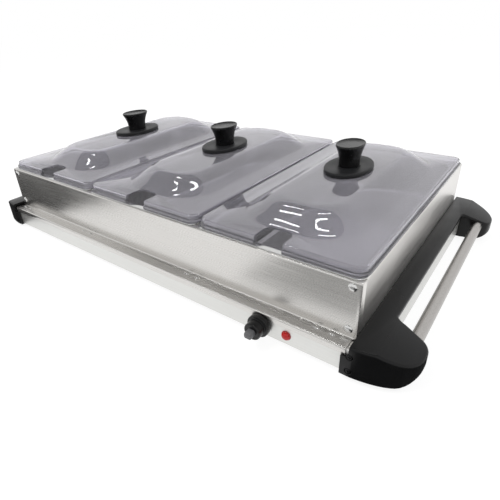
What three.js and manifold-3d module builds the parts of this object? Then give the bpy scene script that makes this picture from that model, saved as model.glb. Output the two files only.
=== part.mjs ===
// Electric buffet server: a warming tray with plastic end caps and tube handles, a steel
// frame that stands on it, three hanging food pans and three clear lids with knobs.
// Millimetres, +Z up, front towards -Y. The origin is under the middle of the whole part.

import * as THREE from "three";
import { mergeVertices } from "three/addons/utils/BufferGeometryUtils.js";
import Module from "manifold-3d";

const wasm = await Module();
wasm.setup();

// ---------------------------------------------------------------- driving dimensions

const FIT = 0.3; // gap between pieces that are put together
const SHEET = 1; // thickness of every steel sheet
const RADIAL_STEPS = 16; // facets round a turned piece
const SMALL_STEPS = 8; // facets round a screw or rivet

// Pan frame
const FRAME_LENGTH = 530;
const FRAME_DEPTH = 332;
const FRAME_HEIGHT = 57;
const FRAME_TOP_FLANGE = 9;
const LEDGE_WIDTH = 14;
const LEDGE_INSET = 3;
const LIP_DROP = 7;
const TAB_WIDTH = 20;
const TAB_MARGIN = 3;
const DIVIDER_WIDTH = 14;
const DIVIDER_DROP = 9;
const RIVET_HEAD_RADIUS = 4;
const RIVET_HEAD_HEIGHT = 1.8;
const RIVET_RADIUS = 2;
const RIVET_FROM_END = 8;
const RIVET_FROM_TOP = 6;
const RIVET_FROM_BASE = 9;

// Heated base
const FOOT_HEIGHT = 4;
const FOOT_RADIUS = 11;
const FOOT_STEM_RADIUS = 2.5;
const FOOT_STEM_LENGTH = 10;
const CAP_FLOOR = 1.7;
const HOUSING_HEIGHT = 24;
const HOUSING_END_REACH = 17.7; // housing length past the frame, each end
const HOUSING_INSET = 1.3; // front wall behind the frame's lip
const HOUSING_FLANGE = 8;
const PAD_END_MARGIN = 20.7; // pad short of the housing, each end
const PAD_SIDE_MARGIN = 39.7;
const ELEMENT_RADIUS = 3.25;
const ELEMENT_PASSES = 4;
const ELEMENT_END_MARGIN = 37; // half turns short of the pad's end
const ELEMENT_SIDE_MARGIN = 39;
const ELEMENT_STEPS = 70;
const ELEMENT_SIDES = 6;

// End caps and handles
const CAP_RAIL_RISE = 4; // cap top above the frame's ledge
const CAP_UNDERLAP = 6.5; // cap reach inward under the frame's lip
const CAP_PROUD = 2.9; // cap skin in front of the housing wall
const CAP_END_REACH = 51.5; // arm tip past the frame's end
const CAP_WALL = 3;
const ARM_WIDTH = 56.6; // from the cap's front face to the arm's inner side
const ARM_TIP_FLARE = 6;
const ARM_TIP_ROUND = 12;
const ARM_TIP_DROP = 10;
const ARM_BOTTOM_RISE = 9;
const ARM_CORNER = 34;
const RAIL_OVERHANG = 1.3;
const RAIL_FILLET = 8;
const HANDLE_RADIUS = 5.8;
const HANDLE_WALL = 1;
const HANDLE_FROM_END = 38;
const HANDLE_DROP = 14; // tube axis below the cap's top
const SOCKET_DEPTH = 13;
const CAP_SCREW_HEAD_RADIUS = 2.7;
const CAP_SCREW_HEAD_HEIGHT = 1.2;
const CAP_SCREW_RADIUS = 1.5;
const CAP_SCREW_LENGTH = 9;
const CAP_SCREW_FROM_FRAME_END = 1.3;
const CAP_SCREW_MARGINS = [4.3, 4.6]; // screws in from the housing's base and top

// Pans
const PAN_COUNT = 3;
const PAN_RIM_GAP = 3;
const PAN_RIM_INSET = 0.25;
const PAN_RIM_SETBACK = 2;
const PAN_DRAFT = 6;
const PAN_FLOOR_GAP = 3;
const PAN_CORNER = 24;
const PAN_RIM_CORNER = 9;

// Lids
const LID_GAP = 1.2;
const LID_SETBACK = 3.5; // lid lip behind the frame's front face
const LID_WALL = 2;
const LID_LIP_HEIGHT = 3.4;
const LID_BAND_HEIGHT = 5.1;
const LID_STEP = 2;
const LID_CORNER = 10;
const LID_EDGE = 1.4;
const DOME_RISE = 18;
const DOME_MARGIN = [23.15, 21.5]; // dome base in from the lid's lip
const DOME_SLOPE = [32, 34];
const DOME_BASE_CORNER = 46;
const DOME_TOP_CORNER = 26;
const NOTCH_WIDTH = 30;
const NOTCH_DEPTH = 24;
const NOTCH_SHIFT = -3;
const NOTCH_CORNER = 6;
const PLATE_HALF = [25, 37.5];
const PLATE_HEIGHT = 5;
const GRIP_HEIGHT = 24.5;
const GRIP_WAIST_HALF = [10.9, 14];
const GRIP_TOP_HALF = [15, 21];
const GRIP_DISH = 1.2;
const LID_SCREW_RADIUS = 2;
const LID_SCREW_HEAD_RADIUS = 4.5;
const LID_SCREW_HEAD_HEIGHT = 2.5;
const LID_SCREW_BITE = 10;

// Controls, on the front wall
const CONTROL_FROM_END = 86.3;
const CONTROL_RISE = 12.5; // axis above the housing's base
const CONTROL_RADIUS = 11.5;
const CONTROL_SKIRT = 5;
const CONTROL_GAP = 2.3; // skirt off the wall, so that it clears the frame's lip
const CONTROL_DRUM = 9;
const CONTROL_DRUM_INSET = 2.8; // drum radius inside the skirt's
const CONTROL_TIP = [8, 6.5]; // width and height of the pointer tip
const CONTROL_TIP_REACH = 7;
const SHAFT_RADIUS = 3;
const SHAFT_INNER_LENGTH = 10;
const THERMOSTAT_SIZE = [28, 20, 19];
const LAMP_SPACING = 27; // lamp beyond the control
const LAMP_RISE = 10.6;
const LENS_RADIUS = 4.3;
const LENS_FLANGE_RADIUS = 4.8;
const LENS_RISE = 4;
const LENS_BARREL_RADIUS = 3.6;
const LENS_BARREL_LENGTH = 12;
const LAMP_RADIUS = 2.3;
const LAMP_LENGTH = 12;

// Supply, on the back wall
const GLAND_FROM_END = 65;
const GLAND_RING = 1.2; // snap ring proud of the neck
const GLAND_RADIUS = 8.5;
const GLAND_NECK_RADIUS = 6;
const GLAND_BORE_RADIUS = 3.6;
const GLAND_REACH = 12;
const TERMINAL_SIZE = [36, 16, 13];
const FUSE_RADIUS = 3;
const FUSE_LENGTH = 26;

// ---------------------------------------------------------------- derived places

const HOUSING_BASE = FOOT_HEIGHT + CAP_FLOOR + FIT;
const HOUSING_TOP = HOUSING_BASE + HOUSING_HEIGHT;
const PLATE_TOP = HOUSING_TOP + SHEET;
const FRAME_TOP = PLATE_TOP + FRAME_HEIGHT;
const LEDGE_TOP = PLATE_TOP + SHEET;
const LIP_BOTTOM = LEDGE_TOP - LIP_DROP;
const FRAME_X = FRAME_LENGTH / 2;
const FRAME_Y = FRAME_DEPTH / 2;
const LIP_Y = FRAME_Y + LEDGE_WIDTH;
const LEDGE_X = FRAME_X - LEDGE_INSET;
const HOUSING_X = FRAME_X + HOUSING_END_REACH;
const HOUSING_Y = LIP_Y - HOUSING_INSET;
const HOUSING_INNER_Y = HOUSING_Y - SHEET;
const PAD_HALF_LENGTH = HOUSING_X - PAD_END_MARGIN;
const PAD_HALF_DEPTH = HOUSING_Y - SHEET - PAD_SIDE_MARGIN;
const ELEMENT_HALF_LENGTH = PAD_HALF_LENGTH - ELEMENT_END_MARGIN;
const ELEMENT_PASS_PITCH = (2 * (PAD_HALF_DEPTH - ELEMENT_SIDE_MARGIN)) / (ELEMENT_PASSES - 1);
const CAP_TOP = LEDGE_TOP + CAP_RAIL_RISE;
const CAP_Y = HOUSING_Y + CAP_PROUD;
const CAP_TIP_X = FRAME_X + CAP_END_REACH;
const RAIL_X = HOUSING_X + RAIL_OVERHANG;
const HANDLE_X = FRAME_X + HANDLE_FROM_END;
const CAP_SCREW_X = FRAME_X + CAP_SCREW_FROM_FRAME_END;
const CAP_SCREW_RISES = [HOUSING_BASE + CAP_SCREW_MARGINS[0], HOUSING_TOP - CAP_SCREW_MARGINS[1]];
const HANDLE_Z = CAP_TOP - HANDLE_DROP;
const ARM_INNER_Y = CAP_Y - ARM_WIDTH;
const FOOT_X = HOUSING_X + FIT + CAP_WALL + FOOT_STEM_RADIUS * 2;
const FOOT_Y = CAP_Y - ARM_CORNER * 0.72;
const PAN_RIM_WIDTH = (FRAME_LENGTH - 2 * PAN_RIM_INSET - (PAN_COUNT - 1) * PAN_RIM_GAP) / PAN_COUNT;
const PAN_PITCH = PAN_RIM_WIDTH + PAN_RIM_GAP;
const PAN_RIM_HALF = [PAN_RIM_WIDTH / 2, FRAME_Y - PAN_RIM_SETBACK];
const LID_SEAT = FRAME_TOP + SHEET;
const LID_TOP = LID_SEAT + LID_LIP_HEIGHT + LID_BAND_HEIGHT;
const LID_HALF = [(PAN_PITCH - LID_GAP) / 2, FRAME_Y - LID_SETBACK];
const DOME_TOP = LID_TOP + DOME_RISE;
const DOME_BASE_HALF = LID_HALF.map((half, axis) => half - DOME_MARGIN[axis]);
const DOME_TOP_HALF = DOME_BASE_HALF.map((half, axis) => half - DOME_SLOPE[axis]);
const CONTROL_X = FRAME_X - CONTROL_FROM_END;
const CONTROL_Z = HOUSING_BASE + CONTROL_RISE;
const LAMP_X = CONTROL_X + LAMP_SPACING;
const LAMP_Z = HOUSING_BASE + LAMP_RISE;
const GLAND_X = FRAME_X - GLAND_FROM_END;
const GLAND_Z = HOUSING_BASE + 2 * SHEET + GLAND_NECK_RADIUS + GLAND_RING + FIT;
const CONTROL_BACK_Y = HOUSING_Y + CONTROL_GAP;
const CONTROL_FACE_Y = CONTROL_BACK_Y + CONTROL_SKIRT + CONTROL_DRUM;
const CONTROL_FRONT_Y = CONTROL_FACE_Y + CONTROL_TIP_REACH;
const GLAND_BACK_Y = HOUSING_Y + GLAND_REACH;
const PAN_XS = Array.from({ length: PAN_COUNT }, (_, i) => (i - (PAN_COUNT - 1) / 2) * PAN_PITCH);
const PAN_NAMES = ["left", "middle", "right"];
const SIDES = { left: -1, right: 1 };
const FACES = { front: -1, back: 1 };

// ---------------------------------------------------------------- materials

const material = (color, roughness, metalness) =>
  new THREE.MeshStandardMaterial({ color, roughness, metalness });

const FINISHES = {
  brushedSteel: () => material(0xc8c5c0, 0.35, 1),
  satinSteel: () => material(0xdcdcda, 0.45, 1),
  polishedSteel: () => material(0xd2d2d0, 0.2, 1),
  blackPlastic: () => material(0x2a2a2c, 0.55, 0),
  knobPlastic: () => material(0x141416, 0.4, 0),
  clearPlastic: () => {
    const clear = material(0xb9b9be, 0.1, 0);
    clear.transparent = true;
    clear.opacity = 0.4;
    return clear;
  },
  redPlastic: () => material(0xc81e1e, 0.25, 0),
  rubber: () => material(0x1c1c1c, 0.8, 0),
  zinc: () => material(0x9a9a98, 0.4, 1),
  wool: () => material(0xd8d0b8, 0.95, 0),
  ceramic: () => material(0xe8e2d4, 0.6, 0),
};

// ---------------------------------------------------------------- solid helpers

/** Turn a closed three.js geometry into a manifold solid. */
function solidOf(geometry) {
  const bare = geometry.clone();
  bare.deleteAttribute("normal");
  bare.deleteAttribute("uv");
  const merged = mergeVertices(bare, 1e-4);
  const corners = merged.index.array;
  const faces = [];
  for (let i = 0; i < corners.length; i += 3) {
    const [a, b, c] = corners.slice(i, i + 3);
    if (a !== b && b !== c && c !== a) faces.push(a, b, c);
  }
  const mesh = new wasm.Mesh({
    numProp: 3,
    vertProperties: new Float32Array(merged.attributes.position.array),
    triVerts: new Uint32Array(faces),
  });
  return new wasm.Manifold(mesh);
}

/** Make a named mesh from a manifold solid. */
function piece(name, solid, finish) {
  const mesh = solid.getMesh();
  const geometry = new THREE.BufferGeometry();
  geometry.setAttribute("position", new THREE.BufferAttribute(mesh.vertProperties, 3));
  geometry.setIndex(new THREE.BufferAttribute(mesh.triVerts, 1));
  geometry.computeVertexNormals();
  const part = new THREE.Mesh(geometry, FINISHES[finish]());
  part.name = name;
  return part;
}

const union = (...solids) => solids.reduce((sum, solid) => sum.add(solid));
const cut = (solid, ...tools) => tools.reduce((rest, tool) => rest.subtract(tool), solid);

/** A box from its low and high corner along each axis. */
function box([x0, x1], [y0, y1], [z0, z1]) {
  const geometry = new THREE.BoxGeometry(x1 - x0, y1 - y0, z1 - z0);
  geometry.translate((x0 + x1) / 2, (y0 + y1) / 2, (z0 + z1) / 2);
  return solidOf(geometry);
}

/** A box centred on the Z axis. */
const plate = (halfX, halfY, z) => box([-halfX, halfX], [-halfY, halfY], z);

/** A flat shape in XY, extruded between two heights. */
function prism(shape, [z0, z1], curveSegments = 6) {
  const geometry = new THREE.ExtrudeGeometry(shape, {
    depth: z1 - z0,
    bevelEnabled: false,
    curveSegments,
  });
  geometry.translate(0, 0, z0);
  return solidOf(geometry);
}

/** A turned solid about an axis along Y: profile points are [radius, y]. */
function turned(profile, x, z, steps = RADIAL_STEPS) {
  const points = profile.map(([radius, y]) => new THREE.Vector2(radius, y));
  const geometry = new THREE.LatheGeometry(points, steps);
  geometry.translate(x, 0, z);
  return solidOf(geometry);
}

/** A turned solid about a vertical axis: profile points are [radius, z]. */
function turnedUp(profile, x, y, steps = RADIAL_STEPS) {
  const points = profile.map(([radius, z]) => new THREE.Vector2(radius, z));
  const geometry = new THREE.LatheGeometry(points, steps);
  geometry.rotateX(Math.PI / 2);
  geometry.translate(x, y, 0);
  return solidOf(geometry);
}

/** A rod along Y between two values of y. */
const rodY = (radius, x, z, [y0, y1], steps = RADIAL_STEPS) =>
  turned([[0, y0], [radius, y0], [radius, y1], [0, y1]], x, z, steps);

/** A rod along Z between two heights. */
const rodZ = (radius, x, y, [z0, z1], steps = RADIAL_STEPS) =>
  turnedUp([[0, z0], [radius, z0], [radius, z1], [0, z1]], x, y, steps);

/** One point on a rounded rectangle's outline, at a share of the way round it. */
function rectanglePoint(halfX, halfY, corner, step, perCorner) {
  const radius = Math.min(corner, halfX, halfY);
  const quarter = Math.floor(step / (perCorner + 1)) % 4;
  const angle = (Math.PI / 2) * (quarter + (step % (perCorner + 1)) / perCorner);
  const signX = quarter === 0 || quarter === 3 ? 1 : -1;
  const signY = quarter < 2 ? 1 : -1;
  const x = signX * (halfX - radius) + radius * Math.cos(angle);
  const y = signY * (halfY - radius) + radius * Math.sin(angle);
  return [x, y];
}

/** One point on an ellipse, at a share of the way round it. */
function ellipsePoint(halfX, halfY, step, steps) {
  const angle = (2 * Math.PI * step) / steps;
  return [halfX * Math.cos(angle), halfY * Math.sin(angle)];
}

/**
 * A closed solid from a stack of level rings, turned once and then stretched ring by ring.
 * Each ring is {half: [x, y], z, corner}; a ring with no corner is an ellipse.
 */
function ringed(rings, perCorner = 3) {
  const steps = 4 * (perCorner + 1);
  const outline = rings.map((ring) => new THREE.Vector2(ring.half[0], ring.z));
  const geometry = new THREE.LatheGeometry(outline, steps);
  const position = geometry.attributes.position;
  for (let turn = 0; turn <= steps; turn += 1) {
    rings.forEach(({ half, z, corner }, level) => {
      const step = turn % steps;
      const [x, y] =
        corner === undefined
          ? ellipsePoint(half[0], half[1], step, steps)
          : rectanglePoint(half[0], half[1], corner, step, perCorner);
      position.setXYZ(turn * rings.length + level, x, y, z);
    });
  }
  return solidOf(geometry);
}

const centre = (z) => ({ half: [0, 0], z });
const inset = ([halfX, halfY], amount) => [halfX - amount, halfY - amount];
const ease = (share) => share * share * (3 - 2 * share);

// ---------------------------------------------------------------- heated base

function warmingPlate() {
  return piece("warming_plate", plate(HOUSING_X, HOUSING_Y, [HOUSING_TOP, PLATE_TOP]), "brushedSteel");
}

/** Four walls with an inward flange that carries the bottom cover. */
function baseHousing() {
  const innerX = HOUSING_X - SHEET;
  const span = [HOUSING_BASE, HOUSING_TOP];
  const walls = cut(plate(HOUSING_X, HOUSING_Y, span), plate(innerX, HOUSING_INNER_Y, span));
  const flangeSpan = [HOUSING_BASE + SHEET, HOUSING_BASE + 2 * SHEET];
  const flange = cut(
    plate(innerX + SHEET / 2, HOUSING_INNER_Y + SHEET / 2, flangeSpan),
    plate(innerX - HOUSING_FLANGE, HOUSING_INNER_Y - HOUSING_FLANGE, flangeSpan),
  );
  const acrossFront = [-HOUSING_Y - 1, -HOUSING_INNER_Y + 1];
  const acrossBack = [HOUSING_INNER_Y - 1, HOUSING_Y + 1];
  const holes = [
    rodY(SHAFT_RADIUS + FIT, CONTROL_X, CONTROL_Z, acrossFront),
    rodY(LENS_BARREL_RADIUS + FIT, LAMP_X, LAMP_Z, acrossFront),
    rodY(GLAND_NECK_RADIUS + FIT, GLAND_X, GLAND_Z, acrossBack),
  ];
  for (const side of Object.values(SIDES)) {
    for (const rise of CAP_SCREW_RISES) {
      for (const span of [acrossFront, acrossBack]) {
        holes.push(rodY(CAP_SCREW_RADIUS + FIT, side * CAP_SCREW_X, rise, span, SMALL_STEPS));
      }
    }
  }
  for (const face of Object.values(FACES)) {
    holes.push(rodZ(CAP_SCREW_RADIUS + FIT, 0, face * coverScrewY(), [flangeSpan[0] - 1, flangeSpan[1] + 1]));
  }
  return piece("base_housing", cut(union(walls, flange), ...holes), "satinSteel");
}

function coverScrewY() {
  return HOUSING_INNER_Y - HOUSING_FLANGE / 2;
}

/** Bottom cover with a row of cooling slots. */
function bottomCover() {
  const slotCount = 7;
  const slotPitch = 22;
  const slotHalf = [3, 45];
  const span = [HOUSING_BASE, HOUSING_BASE + SHEET];
  const sheet = plate(HOUSING_X - SHEET - FIT, HOUSING_INNER_Y - FIT, span);
  const tools = [];
  for (let i = 0; i < slotCount; i += 1) {
    const x = (i - (slotCount - 1) / 2) * slotPitch;
    tools.push(box([x - slotHalf[0], x + slotHalf[0]], [-slotHalf[1], slotHalf[1]], [span[0] - 1, span[1] + 1]));
  }
  for (const face of Object.values(FACES)) {
    tools.push(rodZ(CAP_SCREW_RADIUS + FIT, 0, face * coverScrewY(), [span[0] - 1, span[1] + 1]));
  }
  return piece("bottom_cover", cut(sheet, ...tools), "zinc");
}

function coverScrew(name, face) {
  const head = HOUSING_BASE - CAP_SCREW_HEAD_HEIGHT;
  const tip = HOUSING_BASE + 3 * SHEET;
  const profile = [
    [0, head],
    [CAP_SCREW_HEAD_RADIUS, head],
    [CAP_SCREW_HEAD_RADIUS, HOUSING_BASE],
    [CAP_SCREW_RADIUS, HOUSING_BASE],
    [CAP_SCREW_RADIUS, tip],
    [0, tip],
  ];
  return piece(name, turnedUp(profile, 0, face * coverScrewY(), SMALL_STEPS), "zinc");
}

/** The centre line of the heating element: straight passes joined by half turns. */
function elementPath(z) {
  const points = [];
  const turnPoints = 6;
  const radius = ELEMENT_PASS_PITCH / 2;
  for (let pass = 0; pass < ELEMENT_PASSES; pass += 1) {
    const y = ((ELEMENT_PASSES - 1) / 2 - pass) * ELEMENT_PASS_PITCH;
    const heading = pass % 2 === 0 ? -1 : 1;
    for (const share of [-1, -0.5, 0, 0.5, 1]) {
      points.push(new THREE.Vector3(heading * share * ELEMENT_HALF_LENGTH, y, z));
    }
    if (pass === ELEMENT_PASSES - 1) break;
    for (let i = 1; i < turnPoints; i += 1) {
      const angle = (Math.PI * i) / turnPoints;
      const x = heading * (ELEMENT_HALF_LENGTH + radius * Math.sin(angle));
      points.push(new THREE.Vector3(x, y - radius + radius * Math.cos(angle), z));
    }
  }
  return new THREE.CatmullRomCurve3(points, false, "centripetal");
}

function elementCentreZ() {
  return HOUSING_TOP - FIT - ELEMENT_RADIUS;
}

function heatingElement() {
  const section = new THREE.Shape();
  for (let i = 0; i < ELEMENT_SIDES; i += 1) {
    const angle = (2 * Math.PI * (i + 0.5)) / ELEMENT_SIDES;
    const point = [ELEMENT_RADIUS * Math.cos(angle), ELEMENT_RADIUS * Math.sin(angle)];
    if (i === 0) section.moveTo(...point);
    else section.lineTo(...point);
  }
  section.closePath();
  const geometry = new THREE.ExtrudeGeometry(section, {
    steps: ELEMENT_STEPS,
    bevelEnabled: false,
    extrudePath: elementPath(elementCentreZ()),
  });
  return piece("heating_element", solidOf(geometry), "zinc");
}

/** Mineral wool pad that lies on the bottom cover and presses the element up. */
function insulationPad() {
  const span = [HOUSING_BASE + SHEET, elementCentreZ() - ELEMENT_RADIUS - FIT];
  return piece("insulation_pad", plate(PAD_HALF_LENGTH, PAD_HALF_DEPTH, span), "wool");
}

function thermalFuse() {
  const z = HOUSING_TOP - FIT - FUSE_RADIUS;
  const geometry = new THREE.CylinderGeometry(FUSE_RADIUS, FUSE_RADIUS, FUSE_LENGTH, SMALL_STEPS);
  geometry.rotateZ(Math.PI / 2);
  geometry.translate(FUSE_LENGTH, 0, z);
  return piece("thermal_fuse", solidOf(geometry), "ceramic");
}

function terminalBlock() {
  const [width, depth, height] = TERMINAL_SIZE;
  const base = HOUSING_BASE + SHEET;
  const backY = HOUSING_INNER_Y - HOUSING_FLANGE - 4;
  const x = GLAND_X - width;
  const body = box([x - width / 2, x + width / 2], [backY - depth, backY], [base, base + height]);
  const wells = [-1, 0, 1].map((i) =>
    rodZ(2.5, x + (i * width) / 3, backY - depth / 2, [base + height - 5, base + height + 1], SMALL_STEPS),
  );
  return piece("terminal_block", cut(body, ...wells), "ceramic");
}

/** Cord inlet bush: a flange outside the back wall and a snap ring inside it. */
function cordGland() {
  const outer = GLAND_BACK_Y;
  const seat = HOUSING_Y;
  const inner = HOUSING_INNER_Y;
  const ringRadius = GLAND_NECK_RADIUS + GLAND_RING;
  const profile = [
    [GLAND_BORE_RADIUS, inner - 4],
    [ringRadius, inner - 4],
    [ringRadius, inner],
    [GLAND_NECK_RADIUS, inner],
    [GLAND_NECK_RADIUS, seat],
    [GLAND_RADIUS, seat],
    [GLAND_RADIUS, seat + 3],
    [GLAND_NECK_RADIUS + 0.4, seat + 4],
    [GLAND_NECK_RADIUS - 0.8, outer],
    [GLAND_BORE_RADIUS, outer],
    [GLAND_BORE_RADIUS, inner - 4],
  ];
  return piece("cord_gland", turned(profile, GLAND_X, GLAND_Z), "blackPlastic");
}

// ---------------------------------------------------------------- controls

function thermostatBody() {
  const [width, depth, height] = THERMOSTAT_SIZE;
  const frontY = -HOUSING_INNER_Y;
  const body = box(
    [CONTROL_X - width / 2, CONTROL_X + width / 2],
    [frontY, frontY + depth],
    [CONTROL_Z - height / 2, CONTROL_Z + height / 2],
  );
  const bore = rodY(SHAFT_RADIUS + FIT, CONTROL_X, CONTROL_Z, [frontY - 1, frontY + SHAFT_INNER_LENGTH + FIT]);
  return piece("thermostat_body", cut(body, bore), "ceramic");
}

function thermostatShaft() {
  const span = [-CONTROL_FACE_Y + 2, -HOUSING_INNER_Y + SHAFT_INNER_LENGTH];
  return piece("thermostat_shaft", rodY(SHAFT_RADIUS, CONTROL_X, CONTROL_Z, span), "zinc");
}

/** Round knob: a skirt, a drum to turn it by and a pointer tip on its face. */
function controlKnob() {
  const back = -CONTROL_BACK_Y;
  const step = back - CONTROL_SKIRT;
  const face = -CONTROL_FACE_Y;
  const drum = CONTROL_RADIUS - CONTROL_DRUM_INSET;
  const profile = [
    [0, face],
    [drum - 1, face],
    [drum, face + 1],
    [drum, step],
    [CONTROL_RADIUS - 1, step],
    [CONTROL_RADIUS, step + 1],
    [CONTROL_RADIUS, back],
    [0, back],
  ];
  const body = turned(profile, CONTROL_X, CONTROL_Z);
  const [halfX, halfZ] = CONTROL_TIP.map((size) => size / 2);
  const tip = box(
    [CONTROL_X - halfX, CONTROL_X + halfX],
    [-CONTROL_FRONT_Y, face + 1],
    [CONTROL_Z - halfZ, CONTROL_Z + halfZ],
  );
  const bore = rodY(SHAFT_RADIUS + FIT, CONTROL_X, CONTROL_Z, [face + 2 - FIT, back + 1]);
  return piece("control_knob", cut(union(body, tip), bore), "knobPlastic");
}

/** Red lens: a flanged dome outside the wall, a hollow barrel through it. */
function indicatorLens() {
  const seat = -HOUSING_Y;
  const dome = [];
  const domeSteps = 4;
  for (let i = 0; i <= domeSteps; i += 1) {
    const angle = (Math.PI / 2) * (i / domeSteps);
    dome.push([LENS_RADIUS * Math.sin(angle), seat - 1 - (LENS_RISE - 1) * Math.cos(angle)]);
  }
  const hollow = LAMP_RADIUS + FIT;
  const profile = [
    ...dome,
    [LENS_FLANGE_RADIUS, seat - 0.8],
    [LENS_FLANGE_RADIUS, seat],
    [LENS_BARREL_RADIUS, seat],
    [LENS_BARREL_RADIUS, seat + LENS_BARREL_LENGTH],
    [hollow, seat + LENS_BARREL_LENGTH],
    [hollow, seat - 1],
    [0, seat - 1],
  ];
  return piece("indicator_lens", turned(profile, LAMP_X, LAMP_Z), "redPlastic");
}

function indicatorLamp() {
  const start = -HOUSING_Y - 1 + FIT;
  const rod = rodY(LAMP_RADIUS, LAMP_X, LAMP_Z, [start, start + LAMP_LENGTH], SMALL_STEPS);
  return piece("indicator_lamp", rod, "ceramic");
}

// ---------------------------------------------------------------- end caps and handles

/** Plan outline of the whole right cap: two arms joined by the rail. */
function wholeCapShape() {
  const startX = FRAME_X - CAP_UNDERLAP;
  const flared = ARM_INNER_Y + ARM_TIP_FLARE;
  const near = ARM_INNER_Y - RAIL_FILLET;
  const arm = new THREE.Path();
  arm.moveTo(startX, -CAP_Y);
  arm.lineTo(CAP_SCREW_X + 2, -CAP_Y);
  arm.bezierCurveTo(
    CAP_TIP_X - ARM_CORNER * 0.75, -CAP_Y + 2,
    CAP_TIP_X, -CAP_Y + ARM_CORNER * 0.28,
    CAP_TIP_X, -CAP_Y + ARM_CORNER,
  );
  arm.lineTo(CAP_TIP_X, -flared - ARM_TIP_ROUND);
  arm.quadraticCurveTo(CAP_TIP_X, -flared, CAP_TIP_X - ARM_TIP_ROUND * 0.8, -flared + 2);
  arm.lineTo(RAIL_X + RAIL_FILLET, -ARM_INNER_Y);
  arm.quadraticCurveTo(RAIL_X, -ARM_INNER_Y, RAIL_X, -near);
  const lower = arm.getPoints(6);
  const upper = lower.map((point) => new THREE.Vector2(point.x, -point.y)).reverse();
  return new THREE.Shape([...lower, ...upper]);
}

/** Plan outline of the hollow under the arm at -Y. */
function hollowShape() {
  const startX = HOUSING_X + FIT + CAP_WALL;
  const tip = CAP_TIP_X - CAP_WALL;
  const inner = ARM_INNER_Y + CAP_WALL;
  const flared = inner + ARM_TIP_FLARE;
  const shape = new THREE.Shape();
  shape.moveTo(startX, -CAP_Y + 2 * CAP_WALL);
  shape.bezierCurveTo(
    CAP_TIP_X - ARM_CORNER * 0.6, -CAP_Y + 2.4 * CAP_WALL,
    tip, -CAP_Y + ARM_CORNER * 0.5,
    tip, -CAP_Y + ARM_CORNER,
  );
  shape.lineTo(tip, -flared - CAP_WALL);
  shape.lineTo(RAIL_X + RAIL_FILLET, -inner - 1);
  shape.lineTo(startX, -inner - 1);
  shape.closePath();
  return shape;
}

/** Side profile of the cap: its top slopes down and its underside rises towards the tip. */
function capProfile() {
  const shape = new THREE.Shape();
  const inX = FRAME_X - CAP_UNDERLAP - 1;
  shape.moveTo(inX, FOOT_HEIGHT);
  shape.lineTo(CAP_TIP_X - 15, FOOT_HEIGHT);
  shape.quadraticCurveTo(CAP_TIP_X, FOOT_HEIGHT + 1, CAP_TIP_X + 1, FOOT_HEIGHT + ARM_BOTTOM_RISE);
  shape.lineTo(CAP_TIP_X + 1, CAP_TOP - ARM_TIP_DROP - 1.5);
  shape.lineTo(CAP_TIP_X - 2, CAP_TOP - ARM_TIP_DROP);
  shape.lineTo(RAIL_X + 2, CAP_TOP);
  shape.lineTo(inX, CAP_TOP);
  shape.closePath();
  const geometry = new THREE.ExtrudeGeometry(shape, {
    depth: 2 * CAP_Y + 2,
    bevelEnabled: false,
    curveSegments: 6,
  });
  geometry.rotateX(Math.PI / 2);
  geometry.translate(0, CAP_Y + 1, 0);
  return solidOf(geometry);
}

/** Hollow under one arm, with a boss for the foot and a socket for the handle tube. */
function armHollow(face) {
  const ceiling = CAP_TOP - ARM_TIP_DROP - CAP_WALL;
  let hollow = prism(hollowShape(), [FOOT_HEIGHT - 1, ceiling], 6);
  const boss = rodZ(FOOT_STEM_RADIUS + FIT + 2.5, FOOT_X, -FOOT_Y, [0, CAP_TOP], SMALL_STEPS);
  const socketEnd = -ARM_INNER_Y - SOCKET_DEPTH - CAP_WALL;
  const socket = rodY(HANDLE_RADIUS + FIT + CAP_WALL, HANDLE_X, HANDLE_Z, [socketEnd, -ARM_INNER_Y]);
  hollow = cut(hollow, boss, socket);
  return face < 0 ? hollow : hollow.mirror([0, 1, 0]);
}

/** Everything that is taken out of one arm for its fasteners, its foot and the handle. */
function armTools(face) {
  const tools = [];
  const outside = [face * (CAP_Y + 1), face * (CAP_Y - CAP_SCREW_HEAD_HEIGHT - FIT)].sort((a, b) => a - b);
  const through = [face * (CAP_Y + 1), face * (HOUSING_Y - 1)].sort((a, b) => a - b);
  for (const rise of CAP_SCREW_RISES) {
    tools.push(rodY(CAP_SCREW_HEAD_RADIUS + FIT, CAP_SCREW_X, rise, outside, SMALL_STEPS));
    tools.push(rodY(CAP_SCREW_RADIUS + FIT, CAP_SCREW_X, rise, through, SMALL_STEPS));
  }
  const stemTop = FOOT_HEIGHT + FOOT_STEM_LENGTH + FIT;
  tools.push(rodZ(FOOT_STEM_RADIUS + FIT, FOOT_X, face * FOOT_Y, [FOOT_HEIGHT - 1, stemTop], SMALL_STEPS));
  const bore = [face * (ARM_INNER_Y - 10), face * (ARM_INNER_Y + SOCKET_DEPTH + FIT)].sort((a, b) => a - b);
  tools.push(rodY(HANDLE_RADIUS + FIT, HANDLE_X, HANDLE_Z, bore));
  return tools;
}

/** Moulded end cap. The left one is the right one turned half way round. */
function endCap(name, side) {
  const solid = prism(wholeCapShape(), [FOOT_HEIGHT, CAP_TOP], 8).intersect(capProfile());
  const far = CAP_TIP_X + 10;
  const wide = CAP_Y + 10;
  const aboveLip = [LIP_BOTTOM - FIT, CAP_TOP + 1];
  const body = cut(
    solid,
    plate(LEDGE_X + FIT, wide, aboveLip),
    plate(FRAME_X + FIT, FRAME_Y + FIT, aboveLip),
    plate(HOUSING_X + FIT, HOUSING_Y + FIT, [HOUSING_BASE - FIT, PLATE_TOP + FIT]),
    box([0, far], [-ARM_INNER_Y, ARM_INNER_Y], [0, PLATE_TOP + FIT]),
    armHollow(-1),
    armHollow(1),
    ...armTools(-1),
    ...armTools(1),
  );
  const part = piece(name, body, "blackPlastic");
  part.rotation.z = side < 0 ? Math.PI : 0;
  return part;
}

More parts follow.
